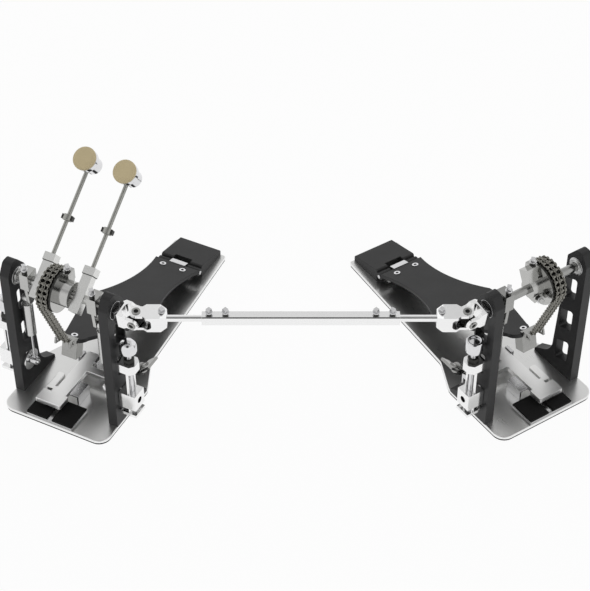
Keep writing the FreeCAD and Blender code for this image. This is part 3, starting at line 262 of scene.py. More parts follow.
# Bearing steel, ground and wiped: pale grey metal with an even soft gloss, hazy over 1 mm.
ground = grained("ground_bearing_steel", ("#c9c9c8", "#dadad9"), 1.0, (0.26, 0.34), (1.0, 1.0, 1.0), 0.004)
for pedal, spot in SPOTS.items():
    flanges, covers = bmesh.new(), bmesh.new()
    for side in (-1, 1):
        for face, out in zip(POST_FACES, (-1, 1)):
            place = spot @ Matrix.Translation((side * face, 0, AXLE_HEIGHT)) @ along((side * out, 0, 0))
            turned(FLANGE, place, shape=covers if side * out == INNER[pedal] and out > 0 else flanges)
    for name in ("outer", "inner"):
        dressed(f"{pedal}_{name}_post", [black], 0.8)
    carried(finished(f"{pedal}_bearing_flanges", flanges, [ground], 0), f"{pedal}_frame", "bright_steel")
    carried(finished(f"{pedal}_bearing_cover", covers, [black], 0), f"{pedal}_frame", "black_anodised")


# Heel plates and frame hardware. A wedge of black anodised aluminium is screwed to the base behind the hinge.
# The bright steel parts of the frame are the bearings, hinge pin, hoop seat, jaw pin, screw bridge and guide.
# Aluminium, sanded and anodised dark grey: matt, a shade paler than the posts, with a grain of 0.6 mm.
charcoal = grained("charcoal_anodised_aluminium", ("#242425", "#2d2d2d"), 0.0, (0.5, 0.62), (0.6, 0.6, 0.6),
                   0.012, shine=0.35)
# Steel, zinc plated and passivated bright: pale metal, a little cloudy over 1.2 mm.
bright = grained("bright_plated_steel", ("#c6c6c7", "#e0e0e1"), 1.0, (0.16, 0.3), (1.2, 1.2, 1.2), 0.01)
for pedal in SPOTS:
    dressed(f"{pedal}_heel_plate", [charcoal], 0.7)
    dressed(f"{pedal}_frame_hardware", [bright], 0.4)


# Hoop clamps. A jaw of thick aluminium plate, milled and satin finished, presses the hoop on the pads. A
# wing screw with a knurled collar comes in from the side at 45 degrees and tips the jaw.
SCREW_AT = (50.0, 36.0, 33.0)
SCREW_IN, SCREW_LONG, COLLAR_BACK = 7.5, 54.0, 20.0
COLLAR_RADIUS, COLLAR_HIGH = 6.5, 10.0
RIBS, RIB_WIDE, RIB_DEEP, RIB_HIGH = 24, 0.8, 0.7, 8.0


def tree_with(name, sizes):
    """A new node tree that takes points, named sizes and a finish, and the sockets that hand them on."""
    kinds = {"Geometry": "NodeSocketGeometry", "Count": "NodeSocketInt", "Finish": "NodeSocketMaterial"}
    tree = bpy.data.node_groups.new(name, "GeometryNodeTree")
    for size in ("Geometry", *sizes, "Finish"):
        tree.interface.new_socket(size, in_out="INPUT", socket_type=kinds.get(size, "NodeSocketFloat"))
    tree.interface.new_socket("Geometry", in_out="OUTPUT", socket_type=kinds["Geometry"])
    return tree, add(tree, "NodeGroupInput").outputs


def coated(tree, copies, finish):
    """Ends a tree: its copies become one real mesh in one finish."""
    real = add(tree, "GeometryNodeRealizeInstances", {"Geometry": copies.outputs[0]})
    coat = add(tree, "GeometryNodeSetMaterial", {"Geometry": real.outputs[0], "Material": finish})
    add(tree, "NodeGroupOutput", {0: coat.outputs[0]})
    return tree


def rib_tree():
    """Bars round a circle, for a knurled grip."""
    tree, given = tree_with("knurled_ribs", ("Count", "Radius", "Width", "Depth", "Height"))
    circle = add(tree, "GeometryNodeMeshCircle", {"Vertices": given["Count"], "Radius": given["Radius"]})
    size = add(tree, "ShaderNodeCombineXYZ", {0: given["Depth"], 1: given["Width"], 2: given["Height"]})
    bar = add(tree, "GeometryNodeMeshCube", {"Size": size.outputs[0]})
    spot = add(tree, "GeometryNodeInputPosition")
    turn = add(tree, "FunctionNodeAlignRotationToVector", {"Vector": spot.outputs[0]}, axis="X", pivot_axis="Z")
    bars = add(tree, "GeometryNodeInstanceOnPoints", {"Points": circle.outputs[0], "Instance": bar.outputs[0],
                                                      "Rotation": turn.outputs[0]})
    return coated(tree, bars, given["Finish"])


def metres(place):
    """A place in millimetres as the same place in metres."""
    moved = place.copy()
    moved.translation *= MM
    return moved


def grown(name, tree, sizes, places=()):
    """Runs a node tree, on places given as matrices in metres if it needs them, and keeps a plain mesh."""
    seeds = bpy.data.meshes.new(name + "_seeds")
    seeds.from_pydata([place.translation for place in places], [], [])
    turns = seeds.attributes.new("turn", "FLOAT_VECTOR", "POINT")
    for value, place in zip(turns.data, places):
        value.vector = place.to_euler()
    carrier = bpy.data.objects.new(name + "_seeds", seeds)
    bpy.context.scene.collection.objects.link(carrier)
    maker = carrier.modifiers.new("grown", "NODES")
    maker.node_group = tree
    for socket in tree.interface.items_tree:
        if socket.in_out == "INPUT" and socket.name in sizes:
            maker[socket.identifier] = sizes[socket.name]
    ready = carrier.evaluated_get(bpy.context.evaluated_depsgraph_get())
    mesh = bpy.data.meshes.new_from_object(ready)
    bpy.data.objects.remove(carrier)
    bpy.data.meshes.remove(seeds)
    return mesh


def plain(name, meshes, edge=0.0, place=Matrix()):
    """Joins grown meshes of one finish as one piece, set at a place in metres."""
    finishes = [finish for finish in meshes[0].materials if finish]
    shape = bmesh.new()
    for mesh in meshes:
        mesh.transform(place)
        shape.from_mesh(mesh)
        bpy.data.meshes.remove(mesh)
    for face in shape.faces:
        face.material_index = 0
    return finished(name, shape, finishes, edge)


# Aluminium, milled and tumbled: pale satin metal with a soft grain of 0.8 mm.
satin = grained("satin_milled_aluminium", ("#f0f0ef", "#fafaf9"), 1.0, (0.3, 0.4), (0.8, 0.8, 0.8), 0.006)
# Steel with a dark plating: smoky grey metal, a little blotched.
smoked = grained("dark_plated_steel", ("#343433", "#4c4c4a"), 1.0, (0.25, 0.4), (1.5, 1.5, 1.5), 0.01)
# Steel, nickel plated: a greyer metal than the parts it holds, smooth but for a haze of 2 mm.
nickel = grained("nickel_plated_steel", ("#878785", "#acacaa"), 1.0, (0.12, 0.22), (2.0, 2.0, 2.0), 0.008)
knurl = rib_tree()
for pedal, spot in SPOTS.items():
    side = INNER[pedal]
    dressed(f"{pedal}_hoop_jaw", [satin], 0.6)
    dressed(f"{pedal}_hoop_screw", [nickel], 0.4)
    lean = along((side * math.sqrt(0.5), 0, math.sqrt(0.5)))
    screw = spot @ Matrix.Translation((side * SCREW_AT[0], SCREW_AT[1], SCREW_AT[2])) @ lean
    ribs = grown(f"{pedal}_collar_ribs", knurl, {"Count": RIBS, "Radius": COLLAR_RADIUS * MM,
                                                "Width": RIB_WIDE * MM, "Depth": RIB_DEEP * MM,
                                                "Height": RIB_HIGH * MM, "Finish": smoked})
    middle = SCREW_LONG - SCREW_IN - COLLAR_BACK + COLLAR_HIGH / 2
    collar = plain(f"{pedal}_collar_knurl", [ribs], place=metres(screw @ Matrix.Translation((0, 0, middle))))
    carried(collar, f"{pedal}_hoop_screw", "bright_steel")


# Footboards. Waisted boards of dark anodised plate turn on the hinge pin. Socket screws from above hold the
# hinge, under a bright tab, and the chain's bracket.
HINGE = Matrix.Translation((0, 249.0, 18.0)) @ Matrix.Rotation(math.radians(-14.85), 4, "X")
BOARD_TOP, TOP_OVER = 6.0, 0.1
HINGE_SCREWS = ((-14.0, -18.0), (14.0, -18.0))
TOE_SCREW = {"main": (-7.5, -233.6), "slave": (12.5, -233.6)}
TOE_TO = 100.0
BOARD_SCREW = {"radius": 4.1, "proud": 0.8, "bore": 1.9}
SOCKET_OVER = 0.4


def at_points(tree, given, shape):
    """Ends a tree: its shape stands at every point that it is given, with the point's own turn."""
    turn = add(tree, "GeometryNodeInputNamedAttribute", {"Name": "turn"}, data_type="FLOAT_VECTOR")
    spin = add(tree, "FunctionNodeEulerToRotation", {0: turn.outputs[0]})
    every = add(tree, "GeometryNodeInstanceOnPoints", {"Points": given["Geometry"], "Instance": shape.outputs[0],
                                                       "Rotation": spin.outputs[0]})
    return coated(tree, every, given["Finish"])


def fastener_tree(name, steps):
    """A fastener of steps one on another, each a name, a number of sides, and whether it is bored."""
    tree, given = tree_with(name, [f"{step} {size}" for step, _, bored in steps
                                   for size in ("Radius", "Height") + (("Wall",) if bored else ())])
    stack = add(tree, "GeometryNodeJoinGeometry")
    base = None
    for step, sides, bored in steps:
        radius, height = given[f"{step} Radius"], given[f"{step} Height"]
        half = add(tree, "ShaderNodeMath", {0: height, 1: 0.5}, operation="MULTIPLY").outputs[0]
        middle = add(tree, "ShaderNodeMath", {0: half, 1: base}, operation="ADD").outputs[0] if base else half
        if bored:
            wall = given[f"{step} Wall"]
            inset = add(tree, "ShaderNodeMath", {0: wall, 1: -0.5}, operation="MULTIPLY").outputs[0]
            mid = add(tree, "ShaderNodeMath", {0: radius, 1: inset}, operation="ADD").outputs[0]
            path = add(tree, "GeometryNodeCurvePrimitiveCircle", {"Resolution": sides, "Radius": mid})
            section = add(tree, "GeometryNodeCurvePrimitiveQuadrilateral", {"Width": wall, "Height": height})
            lump = add(tree, "GeometryNodeCurveToMesh", {"Curve": path.outputs[0],
                                                         "Profile Curve": section.outputs[0]})
        else:
            lump = add(tree, "GeometryNodeMeshCylinder", {"Vertices": sides, "Radius": radius, "Depth": height})
            base = add(tree, "ShaderNodeMath", {0: middle, 1: half}, operation="ADD").outputs[0]
        lift = add(tree, "ShaderNodeCombineXYZ", {2: middle})
        raised = add(tree, "GeometryNodeTransform", {"Geometry": lump.outputs[0],
                                                     "Translation": lift.outputs[0]})
        tree.links.new(raised.outputs[0], stack.inputs[0])
    return at_points(tree, given, stack)


def fixed(name, tree, sizes, finish, places, body, slot, edge=0.25):
    """Sets a fastener at places in millimetres, all on one body."""
    given = {size: value * MM for size, value in sizes.items()}
    mesh = grown(name, tree, dict(given, Finish=finish), [metres(place) for place in places])
    carried(plain(name, [mesh], edge), body, slot)


screw_ring = fastener_tree("round_screw_head", [("Head", 28, True)])
socket_shade_floor = fastener_tree("six_sided_socket_shade", [("Floor", 6, False)])


def socket_screws(name, places, body, finish, radius, proud, bore, lift=0.0):
    """Round screw heads whose six-sided socket has a floor of black rubber, painted shade in the socket, lifted
    off the pin below.
    """
    fixed(f"{name}_heads", screw_ring, {"Head Radius": radius, "Head Height": proud, "Head Wall": radius - bore},
          finish, places, body, "bright_steel", 0.2)
    # The black rubber floor in each socket is painted shade.
    fixed(f"{name}_sockets", socket_shade_floor, {"Floor Radius": bore + SOCKET_OVER, "Floor Height": 0.5 * proud},
          rubber, [place @ Matrix.Translation((0, 0, lift)) for place in places], body, "dark_steel", 0)


def shaded_below_top(corners):
    """The board's sides and underside take the black finish of the posts: painted shade below the sanded top."""
    return int(min(at.z for at in corners) < BOARD_TOP - TOP_OVER)


def at_toe(corners):
    """The chain's bracket is greyer than the hinge tab."""
    return int(corners[0].y < TOE_TO)


# Chrome steel, ground and polished: near mirror, with a faint waviness of 6 mm left by the wheel.
chrome = grained("polished_chrome_steel", ("#d2d2d4", "#e4e4e5"), 1.0, (0.06, 0.14), (6.0, 6.0, 6.0), 0.01)
for pedal, spot in SPOTS.items():
    board = spot @ HINGE
    # The black finish on the board's sides and underside is painted shade.
    dressed(f"{pedal}_footboard", [charcoal, black], 0.7, pick=shaded_below_top, home=board)
    places = [board @ Matrix.Translation((x, y, BOARD_TOP)) for x, y in (*HINGE_SCREWS, TOE_SCREW[pedal])]
    socket_screws(f"{pedal}_board_screws", places, f"{pedal}_board", chrome, **BOARD_SCREW)
    dressed(f"{pedal}_toe_bracket", [bright, nickel], 0.4, pick=at_toe, home=spot, smallest=9.0)


# Chains. Double roller chains of 6.35 mm pitch lie on the cams and hang to the footboards. Outer links with
# pins and inner links with rollers take turns; the plates are dark oiled steel.
PITCH, CAM_RADIUS, CHAIN_LEAN = 6.35, 25.5, math.radians(21.8)
RUN, LOOSE, WRAP = 13, 2, 9
CHAIN_X, CHAIN_WIDE = {"main": -9.0, "slave": 14.0}, 14.4
LINK = {"Pitch": PITCH, "Plate": 1.0, "Height": 5.2}
PINS = {"Roller Radius": 1.0, "Roller Length": CHAIN_WIDE}
ROLLERS = {"Roller Radius": 1.6, "Roller Length": 3.0}
OUTER_PLATES, INNER_PLATES = (-6.7, 0.0, 6.7), (-5.35, -1.35, 1.35, 5.35)
PINS_AT, ROLLERS_AT = (0.0,), (-3.3, 3.3)
WAIST = 0.62


def link_tree(name, plates, rollers):
    """One link: waisted plates at the given places across the chain, and rollers or pins between them."""
    tree, given = tree_with(name, ("Pitch", "Plate", "Height", "Roller Radius", "Roller Length"))
    stack = add(tree, "GeometryNodeJoinGeometry")
    half = add(tree, "ShaderNodeMath", {0: given["Height"], 1: 0.5}, operation="MULTIPLY").outputs[0]
    waist = add(tree, "ShaderNodeMath", {0: given["Height"], 1: WAIST}, operation="MULTIPLY").outputs[0]
    centre = add(tree, "ShaderNodeMath", {0: given["Pitch"], 1: 0.5}, operation="MULTIPLY").outputs[0]
    disc = add(tree, "GeometryNodeMeshCylinder", {"Vertices": 16, "Radius": half, "Depth": given["Plate"]})
    web_size = add(tree, "ShaderNodeCombineXYZ", {0: given["Plate"], 1: given["Pitch"], 2: waist})
    web = add(tree, "GeometryNodeMeshCube", {"Size": web_size.outputs[0]})
    barrel = add(tree, "GeometryNodeMeshCylinder", {"Vertices": 14, "Radius": given["Roller Radius"],
                                                    "Depth": given["Roller Length"]})
    ends, across, upright = (0.0, given["Pitch"]), (0.0, math.pi / 2, 0.0), (0.0, 0.0, 0.0)
    for lump, columns, steps, turn in ((disc, plates, ends, across), (web, plates, (centre,), upright),
                                       (barrel, rollers, ends, across)):
        for x in columns:
            for step in steps:
                spot = add(tree, "ShaderNodeCombineXYZ", {0: x * MM, 1: step})
                set_down = add(tree, "GeometryNodeTransform", {"Geometry": lump.outputs[0], "Rotation": turn,
                                                               "Translation": spot.outputs[0]})
                tree.links.new(set_down.outputs[0], stack.inputs[0])
    return at_points(tree, given, stack)


def chain_pin(index):
    """Pin 0 is where the run leaves the cam; pins below it hang, pins above it lie on the cam."""
    step = 2 * math.asin(PITCH / 2 / CAM_RADIUS)
    angle = max(index, 0) * step - CHAIN_LEAN
    below = max(-index, 0) * PITCH
    return Vector((0, below * math.sin(CHAIN_LEAN) - CAM_RADIUS * math.cos(angle),
                   AXLE_HEIGHT + CAM_RADIUS * math.sin(angle) - below * math.cos(CHAIN_LEAN)))


# Carbon steel, heat treated and oiled: brown-black metal, brighter where the plates rub, over 1.4 mm.
oiled = grained("oiled_chain_steel", ("#393936", "#b2b0a8"), 1.0, (0.2, 0.34), (1.4, 1.4, 1.4), 0.01)
outer_link = link_tree("outer_chain_link", OUTER_PLATES, PINS_AT)
inner_link = link_tree("inner_chain_link", INNER_PLATES, ROLLERS_AT)
for pedal, spot in SPOTS.items():
    for part, first, last in (("wrap", LOOSE, LOOSE + WRAP), ("links", 0, LOOSE), ("run", -RUN, 0)):
        links = {"outer": [], "inner": []}
        for index in range(first, last):
            start, end = chain_pin(index), chain_pin(index + 1)
            tip = math.atan2(end.z - start.z, end.y - start.y)
            place = spot @ Matrix.Translation((CHAIN_X[pedal], 0, 0)) @ Matrix.Translation(start)
            place = place @ Matrix.Rotation(tip, 4, "X")
            links["inner" if (index + RUN) % 2 else "outer"].append(metres(place))
        node, meshes = f"{pedal}_chain_{part}", []
        for kind, tree, more in (("outer", outer_link, PINS), ("inner", inner_link, ROLLERS)):
            sizes = {size: value * MM for size, value in dict(LINK, **more).items()}
            meshes.append(grown(f"{node}_{kind}", tree, dict(sizes, Finish=oiled), links[kind]))
        stands_for(plain(f"{node}_finish", meshes, edge=0.15), node)


# Cams and axles. Each chain lies on the drum of a turned aluminium cam with a flange and a hub; the drum under
# the chain and the flange's rim carry painted shade. The axles carry the rockers that pull the springs, and
# every clamp is drawn up by a square-headed key screw.
KEY = {"Neck Radius": 2.8, "Neck Height": 2.6, "Washer Radius": 4.2, "Washer Height": 1.3, "Head Radius": 3.4,
       "Head Height": 4.1}
TALL_KEY = dict(KEY, **{"Neck Height": 5.4, "Washer Height": 1.7, "Head Height": 5.9})
NECK_OVER = 0.3
SHADE_RADII, DARK_OVER = (22.4, 25.0), 0.3
CAMS = (("primary_cam", "main", (3.6, 10.5, 199.0)), ("slave_cam", "slave", (1.4, 10.5, 199.0)))
LEVER_KEY = (-4.1, -11.0, 166.0)
key_screw = fastener_tree("key_screw", [("Neck", 20, False), ("Washer", 24, False), ("Head", 4, False)])
key_neck_shade = fastener_tree("key_screw_neck_shade", [("Neck", 20, False)])


def key_screws(name, places, body, sizes=KEY):
    """Square-headed screws with a dark plated neck: painted shade in the gap under the washer."""
    neck = {"Neck Radius": sizes["Neck Radius"] + NECK_OVER, "Neck Height": sizes["Neck Height"] - NECK_OVER}
    fixed(name, key_screw, sizes, bright, places, body, "bright_steel")
    # The dark neck, a little wider than the real one, is painted shade under the washer.
    fixed(f"{name}_necks", key_neck_shade, neck, smoked, places, body, "dark_steel", 0)


def in_rim_shade(corners):
    """The drum under the chain and the rim of the flange take the dark finish, painted shade under the chain and
    along the flange's rim.
    """
    radii = [math.hypot(at.y, at.z - AXLE_HEIGHT) for at in corners]
    return int(any(all(abs(radius - dark) < DARK_OVER for radius in radii) for dark in SHADE_RADII))


# Aluminium, turned for the cams and axles: a middle grey metal with faint turning marks of 1.5 mm.
machined = grained("turned_aluminium", ("#a9a9a7", "#c3c3c1"), 1.0, (0.12, 0.22), (1.5, 1.5, 1.5), 0.006)
AXLES = (("primary_axle", "main", machined, (-44.0, -5.0, 187.0)),
         ("secondary_axle", "main", machined, (44.0, -5.0, 187.0)),
         ("slave_axle", "slave", nickel, (-44.0, -5.0, 187.0)))
for node, pedal, key_at in CAMS:
    # The dark plated steel on the cam's drum and flange rim is painted shade.
    dressed(node, [machined, smoked], 0.6, pick=in_rim_shade, home=SPOTS[pedal], smallest=10.0)
    key_screws(f"{node}_key", [SPOTS[pedal] @ Matrix.Translation(key_at)], BODY_OF[node])
key_screws("slave_lever_key", [SPOTS["slave"] @ Matrix.Translation(LEVER_KEY) @ along((0, -1, 0))],
           BODY_OF["slave_cam"])
for node, pedal, finish, key_at in AXLES:
    dressed(node, [finish], 0.6, smallest=14.0)
    key_screws(f"{node}_key", [SPOTS[pedal] @ Matrix.Translation(key_at)], BODY_OF[node], TALL_KEY)


# Beaters. A satin holder is clamped on the axle, with a cap on a dark seam, and a knurled steel shaft stands in
# it with a dark stop collar. Each head is a chromed cup that holds a disc of pressed felt.
BEATERS = {"primary": -27.0, "secondary": 25.0}
BEATER_LEAN = math.radians(52.6)
HOLDER_KEY, STOP_AT, HEAD_AT, CUP_FRONT = (0, 7.0, 31.5), 80.0, 147.0, 14.4
CAP_SEAM, CAP_TURN = [(4.0, 26.1), (9.48, 26.1), (9.48, 27.0), (4.0, 27.0)], math.radians(45.0)
FELT = [(0.0, 5.2), (8.0, 5.15), (11.4, 4.95), (12.8, 4.5), (13.6, 3.6), (13.8, 2.6), (13.8, 1.4), (13.5, 0.5),
        (12.8, 0.0), (0.0, 0.0)]
CUP = [(0.0, 13.0), (8.6, 13.0), (9.6, 12.6), (10.0, 11.6), (10.0, -4.2), (10.6, -5.3), (12.5, -6.2),
       (13.3, -7.2), (13.3, -13.6), (13.0, -CUP_FRONT), (0.0, -CUP_FRONT)]
STOP = [(2.4, -3.5), (4.3, -3.5), (4.9, -3.0), (4.9, 3.0), (4.3, 3.5), (2.4, 3.5)]
LOBE, LOBE_OUT = (4.2, 6.0, 5.6), 5.0
SLIT, SLIT_BACK = (1.8, 9.0, 20.2), 8.6


def block(shape, size, place):
    """Adds a plain block to a shape, with its sizes and place in millimetres."""
    for vert in bmesh.ops.create_cube(shape, size=1.0)["verts"]:
        vert.co = (place @ Vector([co * span for co, span in zip(vert.co, size)])) * MM
    return shape


# Wool felt, pressed: warm beige, matt, with short fibres 0.7 mm apart and soft blotches, and a pale fuzz.
felt = grained("pressed_wool_felt", ("#b4a57f", "#d1c19b"), 0.0, (0.9, 1.0), (0.7, 0.7, 0.7), 0.25)
fuzz = next(part for part in felt.node_tree.nodes if part.type == "BSDF_PRINCIPLED")
fuzz.inputs["Sheen Weight"].default_value = 0.35
fuzz.inputs["Sheen Roughness"].default_value = 0.5
# Steel rod, knurled and nickel plated: grey, with rings 1 mm apart, drawn 2.2 mm apart to show.
rod_steel = grained("knurled_nickel_steel", ("#9c9c97", "#aeaea9"), 1.0, (0.34, 0.46), (6.0, 6.0, 2.2), 0.008,
                    turn=-MAIN_TURN, tilt=BEATER_LEAN)
# Aluminium, extruded and bead blasted: a duller grey than the milled parts, with a grain of 0.6 mm.
blasted = grained("bead_blasted_aluminium", ("#d3d3d1", "#e3e3e1"), 1.0, (0.22, 0.3), (0.6, 0.6, 0.6), 0.006)
for name, x in BEATERS.items():
    rotor, beater = f"{name}_rotor", f"{name}_beater"
    stand = SPOTS["main"] @ Matrix.Translation((x, 0, AXLE_HEIGHT)) @ Matrix.Rotation(-BEATER_LEAN, 4, "X")
    dressed(f"{name}_beater_holder", [blasted], 0.6, smallest=10.0)
    key_screws(f"{name}_holder_key", [stand @ Matrix.Translation(HOLDER_KEY) @ along((0, 1, 0))], rotor)
    seam = turned(CAP_SEAM, stand @ Matrix.Rotation(CAP_TURN, 4, "Z"), sides=4)
    carried(finished(f"{name}_cap_seam", seam, [smoked], 0), rotor, "dark_steel")
    dressed(f"{name}_beater_shaft", [rod_steel], 0.3)
    stop = turned(STOP, stand @ Matrix.Translation((0, 0, STOP_AT)))
    for lobe in (-1, 1):
        block(stop, LOBE, stand @ Matrix.Translation((lobe * LOBE_OUT, 0, STOP_AT)))
    carried(finished(f"{name}_stop_collar", stop, [smoked], 0.5), beater, "dark_steel")
    head = stand @ Matrix.Translation((0, 0, HEAD_AT))
    cup = turned(CUP, head @ along((0, 1, 0)))
    stands_for(finished(f"{name}_beater_cup", cup, [chrome], 0.3), f"{name}_beater_head")
    # A dark plated block set in the cup's slot is painted shade in the slot.
    slit_shade = block(bmesh.new(), SLIT, head @ Matrix.Translation((0, SLIT_BACK, 0)))
    carried(finished(f"{name}_cup_slit_shade", slit_shade, [smoked], 0.2), beater, "dark_steel")
    disc = turned(FELT, head @ Matrix.Translation((0, -CUP_FRONT, 0)) @ along((0, -1, 0)), sides=72)
    stands_for(finished(f"{name}_felt_disc", disc, [felt], 0), f"{name}_beater_felt")


# Springs and tension units. A smooth can hangs on each rocker and holds the spring; its rod hooks on an
# anchor that a knob lifts along two bright rails outside the post. The slave's knob is flat, the others domed.
UNITS = (("primary", "main", -1), ("secondary", "main", 1), ("slave", "slave", -1))
UNIT_X = 82.0
KNOB = [(0.0, 134.5), (3.6, 134.1), (6.8, 132.7), (9.0, 130.1), (9.9, 127.0), (10.0, 124.4), (10.0, 119.2),
        (9.5, 118.3), (8.8, 118.0), (0.0, 118.0)]
FLAT_KNOB = [(0.0, 131.6), (6.0, 131.6), (6.6, 133.6), (7.3, 134.0), (9.3, 134.0), (10.0, 133.2), (10.0, 119.2),
             (9.5, 118.3), (8.8, 118.0), (0.0, 118.0)]
NUT = [(3.0, 102.9), (6.1, 102.9), (6.9, 103.6), (6.9, 107.0), (6.1, 107.7), (3.0, 107.7)]
THREAD_FROM, THREAD_TO, THREAD_PITCH = 37.0, 118.0, 1.5
THREAD = [(2.6, 0.1), (3.0, 0.6), (3.0, 0.9), (2.6, 1.4)]
ANCHOR_HEIGHT, HOLE_RADIUS, HOLE_FROM = 46.0, 4.1, 87.9


def in_shaded_hole(corners):
    """The blind hole in the carriage's outer face is lined with black rubber, painted shade in the hole."""
    return int(all(abs(at.x) > HOLE_FROM and math.hypot(at.y, at.z - ANCHOR_HEIGHT) < HOLE_RADIUS
                   for at in corners))


# Steel tube, drawn and nickel plated: grey satin metal with faint lines along it, 12 mm long.
tube_grey = grained("satin_nickel_tube", ("#bcbcbb", "#d4d4d3"), 1.0, (0.2, 0.3), (1.0, 1.0, 12.0), 0.008)
# Aluminium, machined and buffed: bright pale metal with faint tool marks of 1.5 mm.
buffed = grained("buffed_aluminium", ("#eaeaea", "#f8f8f8"), 1.0, (0.1, 0.2), (1.5, 1.5, 1.5), 0.006)
for name, pedal, side in UNITS:
    dressed(f"{name}_spring_can", [tube_grey], 0.5)
    dressed(f"{name}_spring_rod", [bright], 0.3)
    stand = SPOTS[pedal] @ Matrix.Translation((side * UNIT_X, 0, 0))
    screw = turned(FLAT_KNOB if name == "slave" else KNOB, stand)
    thread = [(0.0, THREAD_FROM)]
    for step in range(int((THREAD_TO - THREAD_FROM) / THREAD_PITCH)):
        height = THREAD_FROM + step * THREAD_PITCH
        thread += [(radius, height + rise) for radius, rise in THREAD]
    turned(thread + [(0.0, THREAD_TO)], stand, sides=24, shape=screw)
    stands_for(finished(f"{name}_tension_knob", screw, [chrome], 0), f"{name}_tension_screw")
    nut = finished(f"{name}_lock_nut", turned(NUT, stand, sides=6), [smoked], 0)
    carried(nut, f"{name}_tension_screw", "dark_steel")
    # The black rubber in the carriage's hole is painted shade.
    dressed(f"{name}_tension_carriage", [buffed, rubber], 0.6, pick=in_shaded_hole, home=SPOTS[pedal])
for node in ("main_tension_blocks", "slave_tension_block"):
    dressed(node, [buffed], 0.6)


# Universal joints and drive shaft. Cast and buffed yokes turn on a dark cross, held by socket bolts, and two
# bright rods slide in a square aluminium tube where key screws lock them.
JOINTS = {"main": Vector((86.43, -44.04, AXLE_HEIGHT)), "slave": Vector((446.43, -44.04, AXLE_HEIGHT))}
PHASE = math.radians(98.0)
EAR_OUT, NECK_OUT, NECK_UP = 12.0, 28.0, 10.0
JOINT_BOLT = {"radius": 4.9, "proud": 1.0, "bore": 2.6, "lift": 0.35}
TUBE_TOP, TUBE_KEYS = 6.0, (79.0, 97.0, 261.0, 279.0)
for pedal, centre in JOINTS.items():
    axle_body, rod_body = BODY_OF[f"{pedal}_axle_yoke"], BODY_OF[f"drive_{pedal}_rod"]
    axle_pin = (SPOTS[pedal].to_3x3() @ Vector((0, -math.sin(PHASE), math.cos(PHASE)))).normalized()
    shaft_pin = Vector((1, 0, 0)).cross(axle_pin).normalized()
    dressed(f"{pedal}_axle_yoke", [buffed], 0.7)
    dressed(f"{pedal}_joint_cross", [smoked], 0.5)
    dressed(f"drive_{pedal}_rod", [buffed], 0.7)
    for part, pin, body in (("axle", axle_pin, axle_body), ("shaft", shaft_pin, rod_body)):
        places = [Matrix.Translation(centre + sign * EAR_OUT * pin) @ along(sign * pin) for sign in (-1, 1)]
        socket_screws(f"{pedal}_{part}_bolts", places, body, nickel, **JOINT_BOLT)
    up = shaft_pin if shaft_pin.z > 0 else -shaft_pin
    neck = centre + Vector((NECK_OUT * INNER[pedal], 0, 0)) + NECK_UP * up
    key_screws(f"{pedal}_yoke_key", [Matrix.Translation(neck) @ along(up)], rod_body)
dressed("drive_tube", [buffed], 0.3, smallest=10.0, chamfer=1.2)
key_screws("tube_keys", [Matrix.Translation(JOINTS["main"] + Vector((x, 0, TUBE_TOP))) for x in TUBE_KEYS],
           BODY_OF["drive_tube"])


# The studio. A white floor that keeps a faint shadow, two large soft lamps, and an even pale sky that darkens
# overhead and has a dark card round the lens, so that polished metal shows black lines on its round edges.
FLOOR_AT, FLOOR_HALF, FLOOR_WHITE = (0.25, 0.0, -0.4 * MM), 8.0, 0.94
SKY_FROM, SKY_TO, SKY_SHADE = 0.5, 0.98, 0.32
CARD_WAY = (0.0, -0.673, 0.74)
CARD_FROM, CARD_TO, CARD_SHADE = math.radians(13.0), math.radians(21.0), 0.05
LAMPS = (("key", Vector((-0.7, 0.7, 2.3)), 5.0), ("fill", Vector((1.3, 0.5, 2.2)), 3.0))
LAMP_SIZE, LAMP_AIM = 2.2, Vector((0.25, 0.1, 0.1))
EYE, LOOK_DOWN = (0.2591, -1.4517, 1.4871), 0.73738
SENSOR, FOCAL = 36.0, 107.62

floor_mesh = bpy.data.meshes.new("floor")
corners = [(x * FLOOR_HALF, y * FLOOR_HALF, 0) for x, y in ((-1, -1), (1, -1), (1, 1), (-1, 1))]
floor_mesh.from_pydata(corners, [], [(0, 1, 2, 3)])
floor_mesh.transform(Matrix.Translation(FLOOR_AT))
floor = bpy.data.objects.new("floor", floor_mesh)
bpy.context.scene.collection.objects.link(floor)
# White paper, matt: lit only for its shadows, and plain white to the lens and in polished metal.
paper = bpy.data.materials.new("white_paper_floor")
paper.use_nodes = True
tree = paper.node_tree
tree.nodes.clear()
ray = add(tree, "ShaderNodeLightPath").outputs
seen = add(tree, "ShaderNodeMath", {0: ray["Is Camera Ray"], 1: ray["Is Glossy Ray"]}, operation="MAXIMUM")
seen = add(tree, "ShaderNodeMath", {0: seen.outputs[0], 1: ray["Is Transmission Ray"]}, operation="MAXIMUM")
share = add(tree, "ShaderNodeMath", {0: seen.outputs[0], 1: FLOOR_WHITE}, operation="MULTIPLY")
lit = add(tree, "ShaderNodeBsdfDiffuse", {"Color": linear("#f2f2f2")})
white = add(tree, "ShaderNodeEmission", {"Color": (1, 1, 1, 1), "Strength": 1.0})
mixed = add(tree, "ShaderNodeMixShader", {0: share.outputs[0], 1: lit.outputs[0], 2: white.outputs[0]})
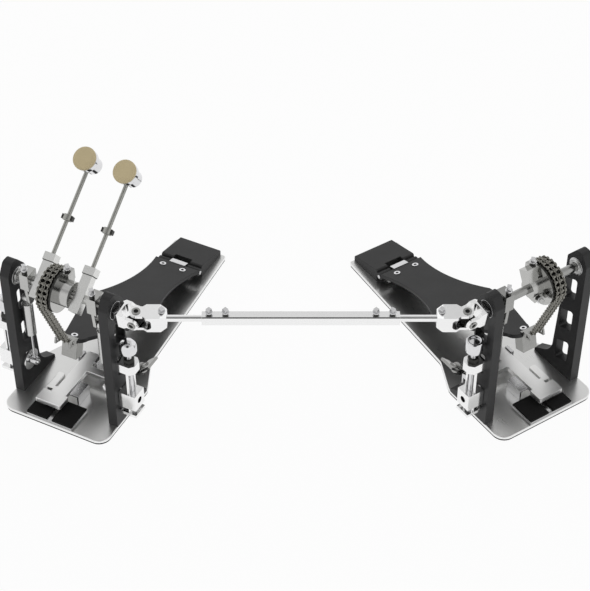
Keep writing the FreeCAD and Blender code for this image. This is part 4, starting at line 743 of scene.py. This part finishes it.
add(tree, "ShaderNodeOutputMaterial", {"Surface": mixed.outputs[0]})
floor_mesh.materials.append(paper)
floor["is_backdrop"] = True

world = bpy.data.worlds.new("studio")
world.use_nodes = True
tree = world.node_tree
tree.nodes.clear()
way = add(tree, "ShaderNodeTexCoord").outputs["Generated"]
height = add(tree, "ShaderNodeSeparateXYZ", {0: way}).outputs[2]
sky = add(tree, "ShaderNodeMapRange", {"Value": height, "From Min": SKY_FROM, "From Max": SKY_TO,
                                       "To Min": 1.0, "To Max": SKY_SHADE})
toward = add(tree, "ShaderNodeVectorMath", {0: way, 1: CARD_WAY}, operation="DOT_PRODUCT").outputs["Value"]
card = add(tree, "ShaderNodeMapRange", {"Value": toward, "From Min": math.cos(CARD_TO),
                                        "From Max": math.cos(CARD_FROM), "To Min": 1.0, "To Max": CARD_SHADE},
           interpolation_type="SMOOTHSTEP")
level = add(tree, "ShaderNodeMath", {0: sky.outputs[0], 1: card.outputs[0]}, operation="MULTIPLY")
glow = add(tree, "ShaderNodeBackground", {"Color": (1, 1, 1, 1), "Strength": level.outputs[0]})
add(tree, "ShaderNodeOutputWorld", {"Surface": glow.outputs[0]})
bpy.context.scene.world = world

for name, spot, watts in LAMPS:
    lamp = bpy.data.lights.new(name, "AREA")
    lamp.size = LAMP_SIZE
    lamp.energy = watts
    holder = bpy.data.objects.new(name, lamp)
    holder.location = spot
    holder.rotation_euler = (LAMP_AIM - spot).to_track_quat("-Z", "Y").to_euler()
    bpy.context.scene.collection.objects.link(holder)

lens = bpy.data.cameras.new("photo_camera")
lens.sensor_fit = "HORIZONTAL"
lens.sensor_width = SENSOR
lens.lens = FOCAL
camera = bpy.data.objects.new("photo_camera", lens)
camera.location = EYE
camera.rotation_euler = (math.pi / 2 - LOOK_DOWN, 0.0, 0.0)
bpy.context.scene.collection.objects.link(camera)
bpy.context.scene.camera = camera
bpy.context.scene.view_settings.view_transform = "Standard"

boxes = {"cad": cad_box, "visual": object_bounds()}
{name: [list(corner) for corner in box] for name, box in boxes.items()}
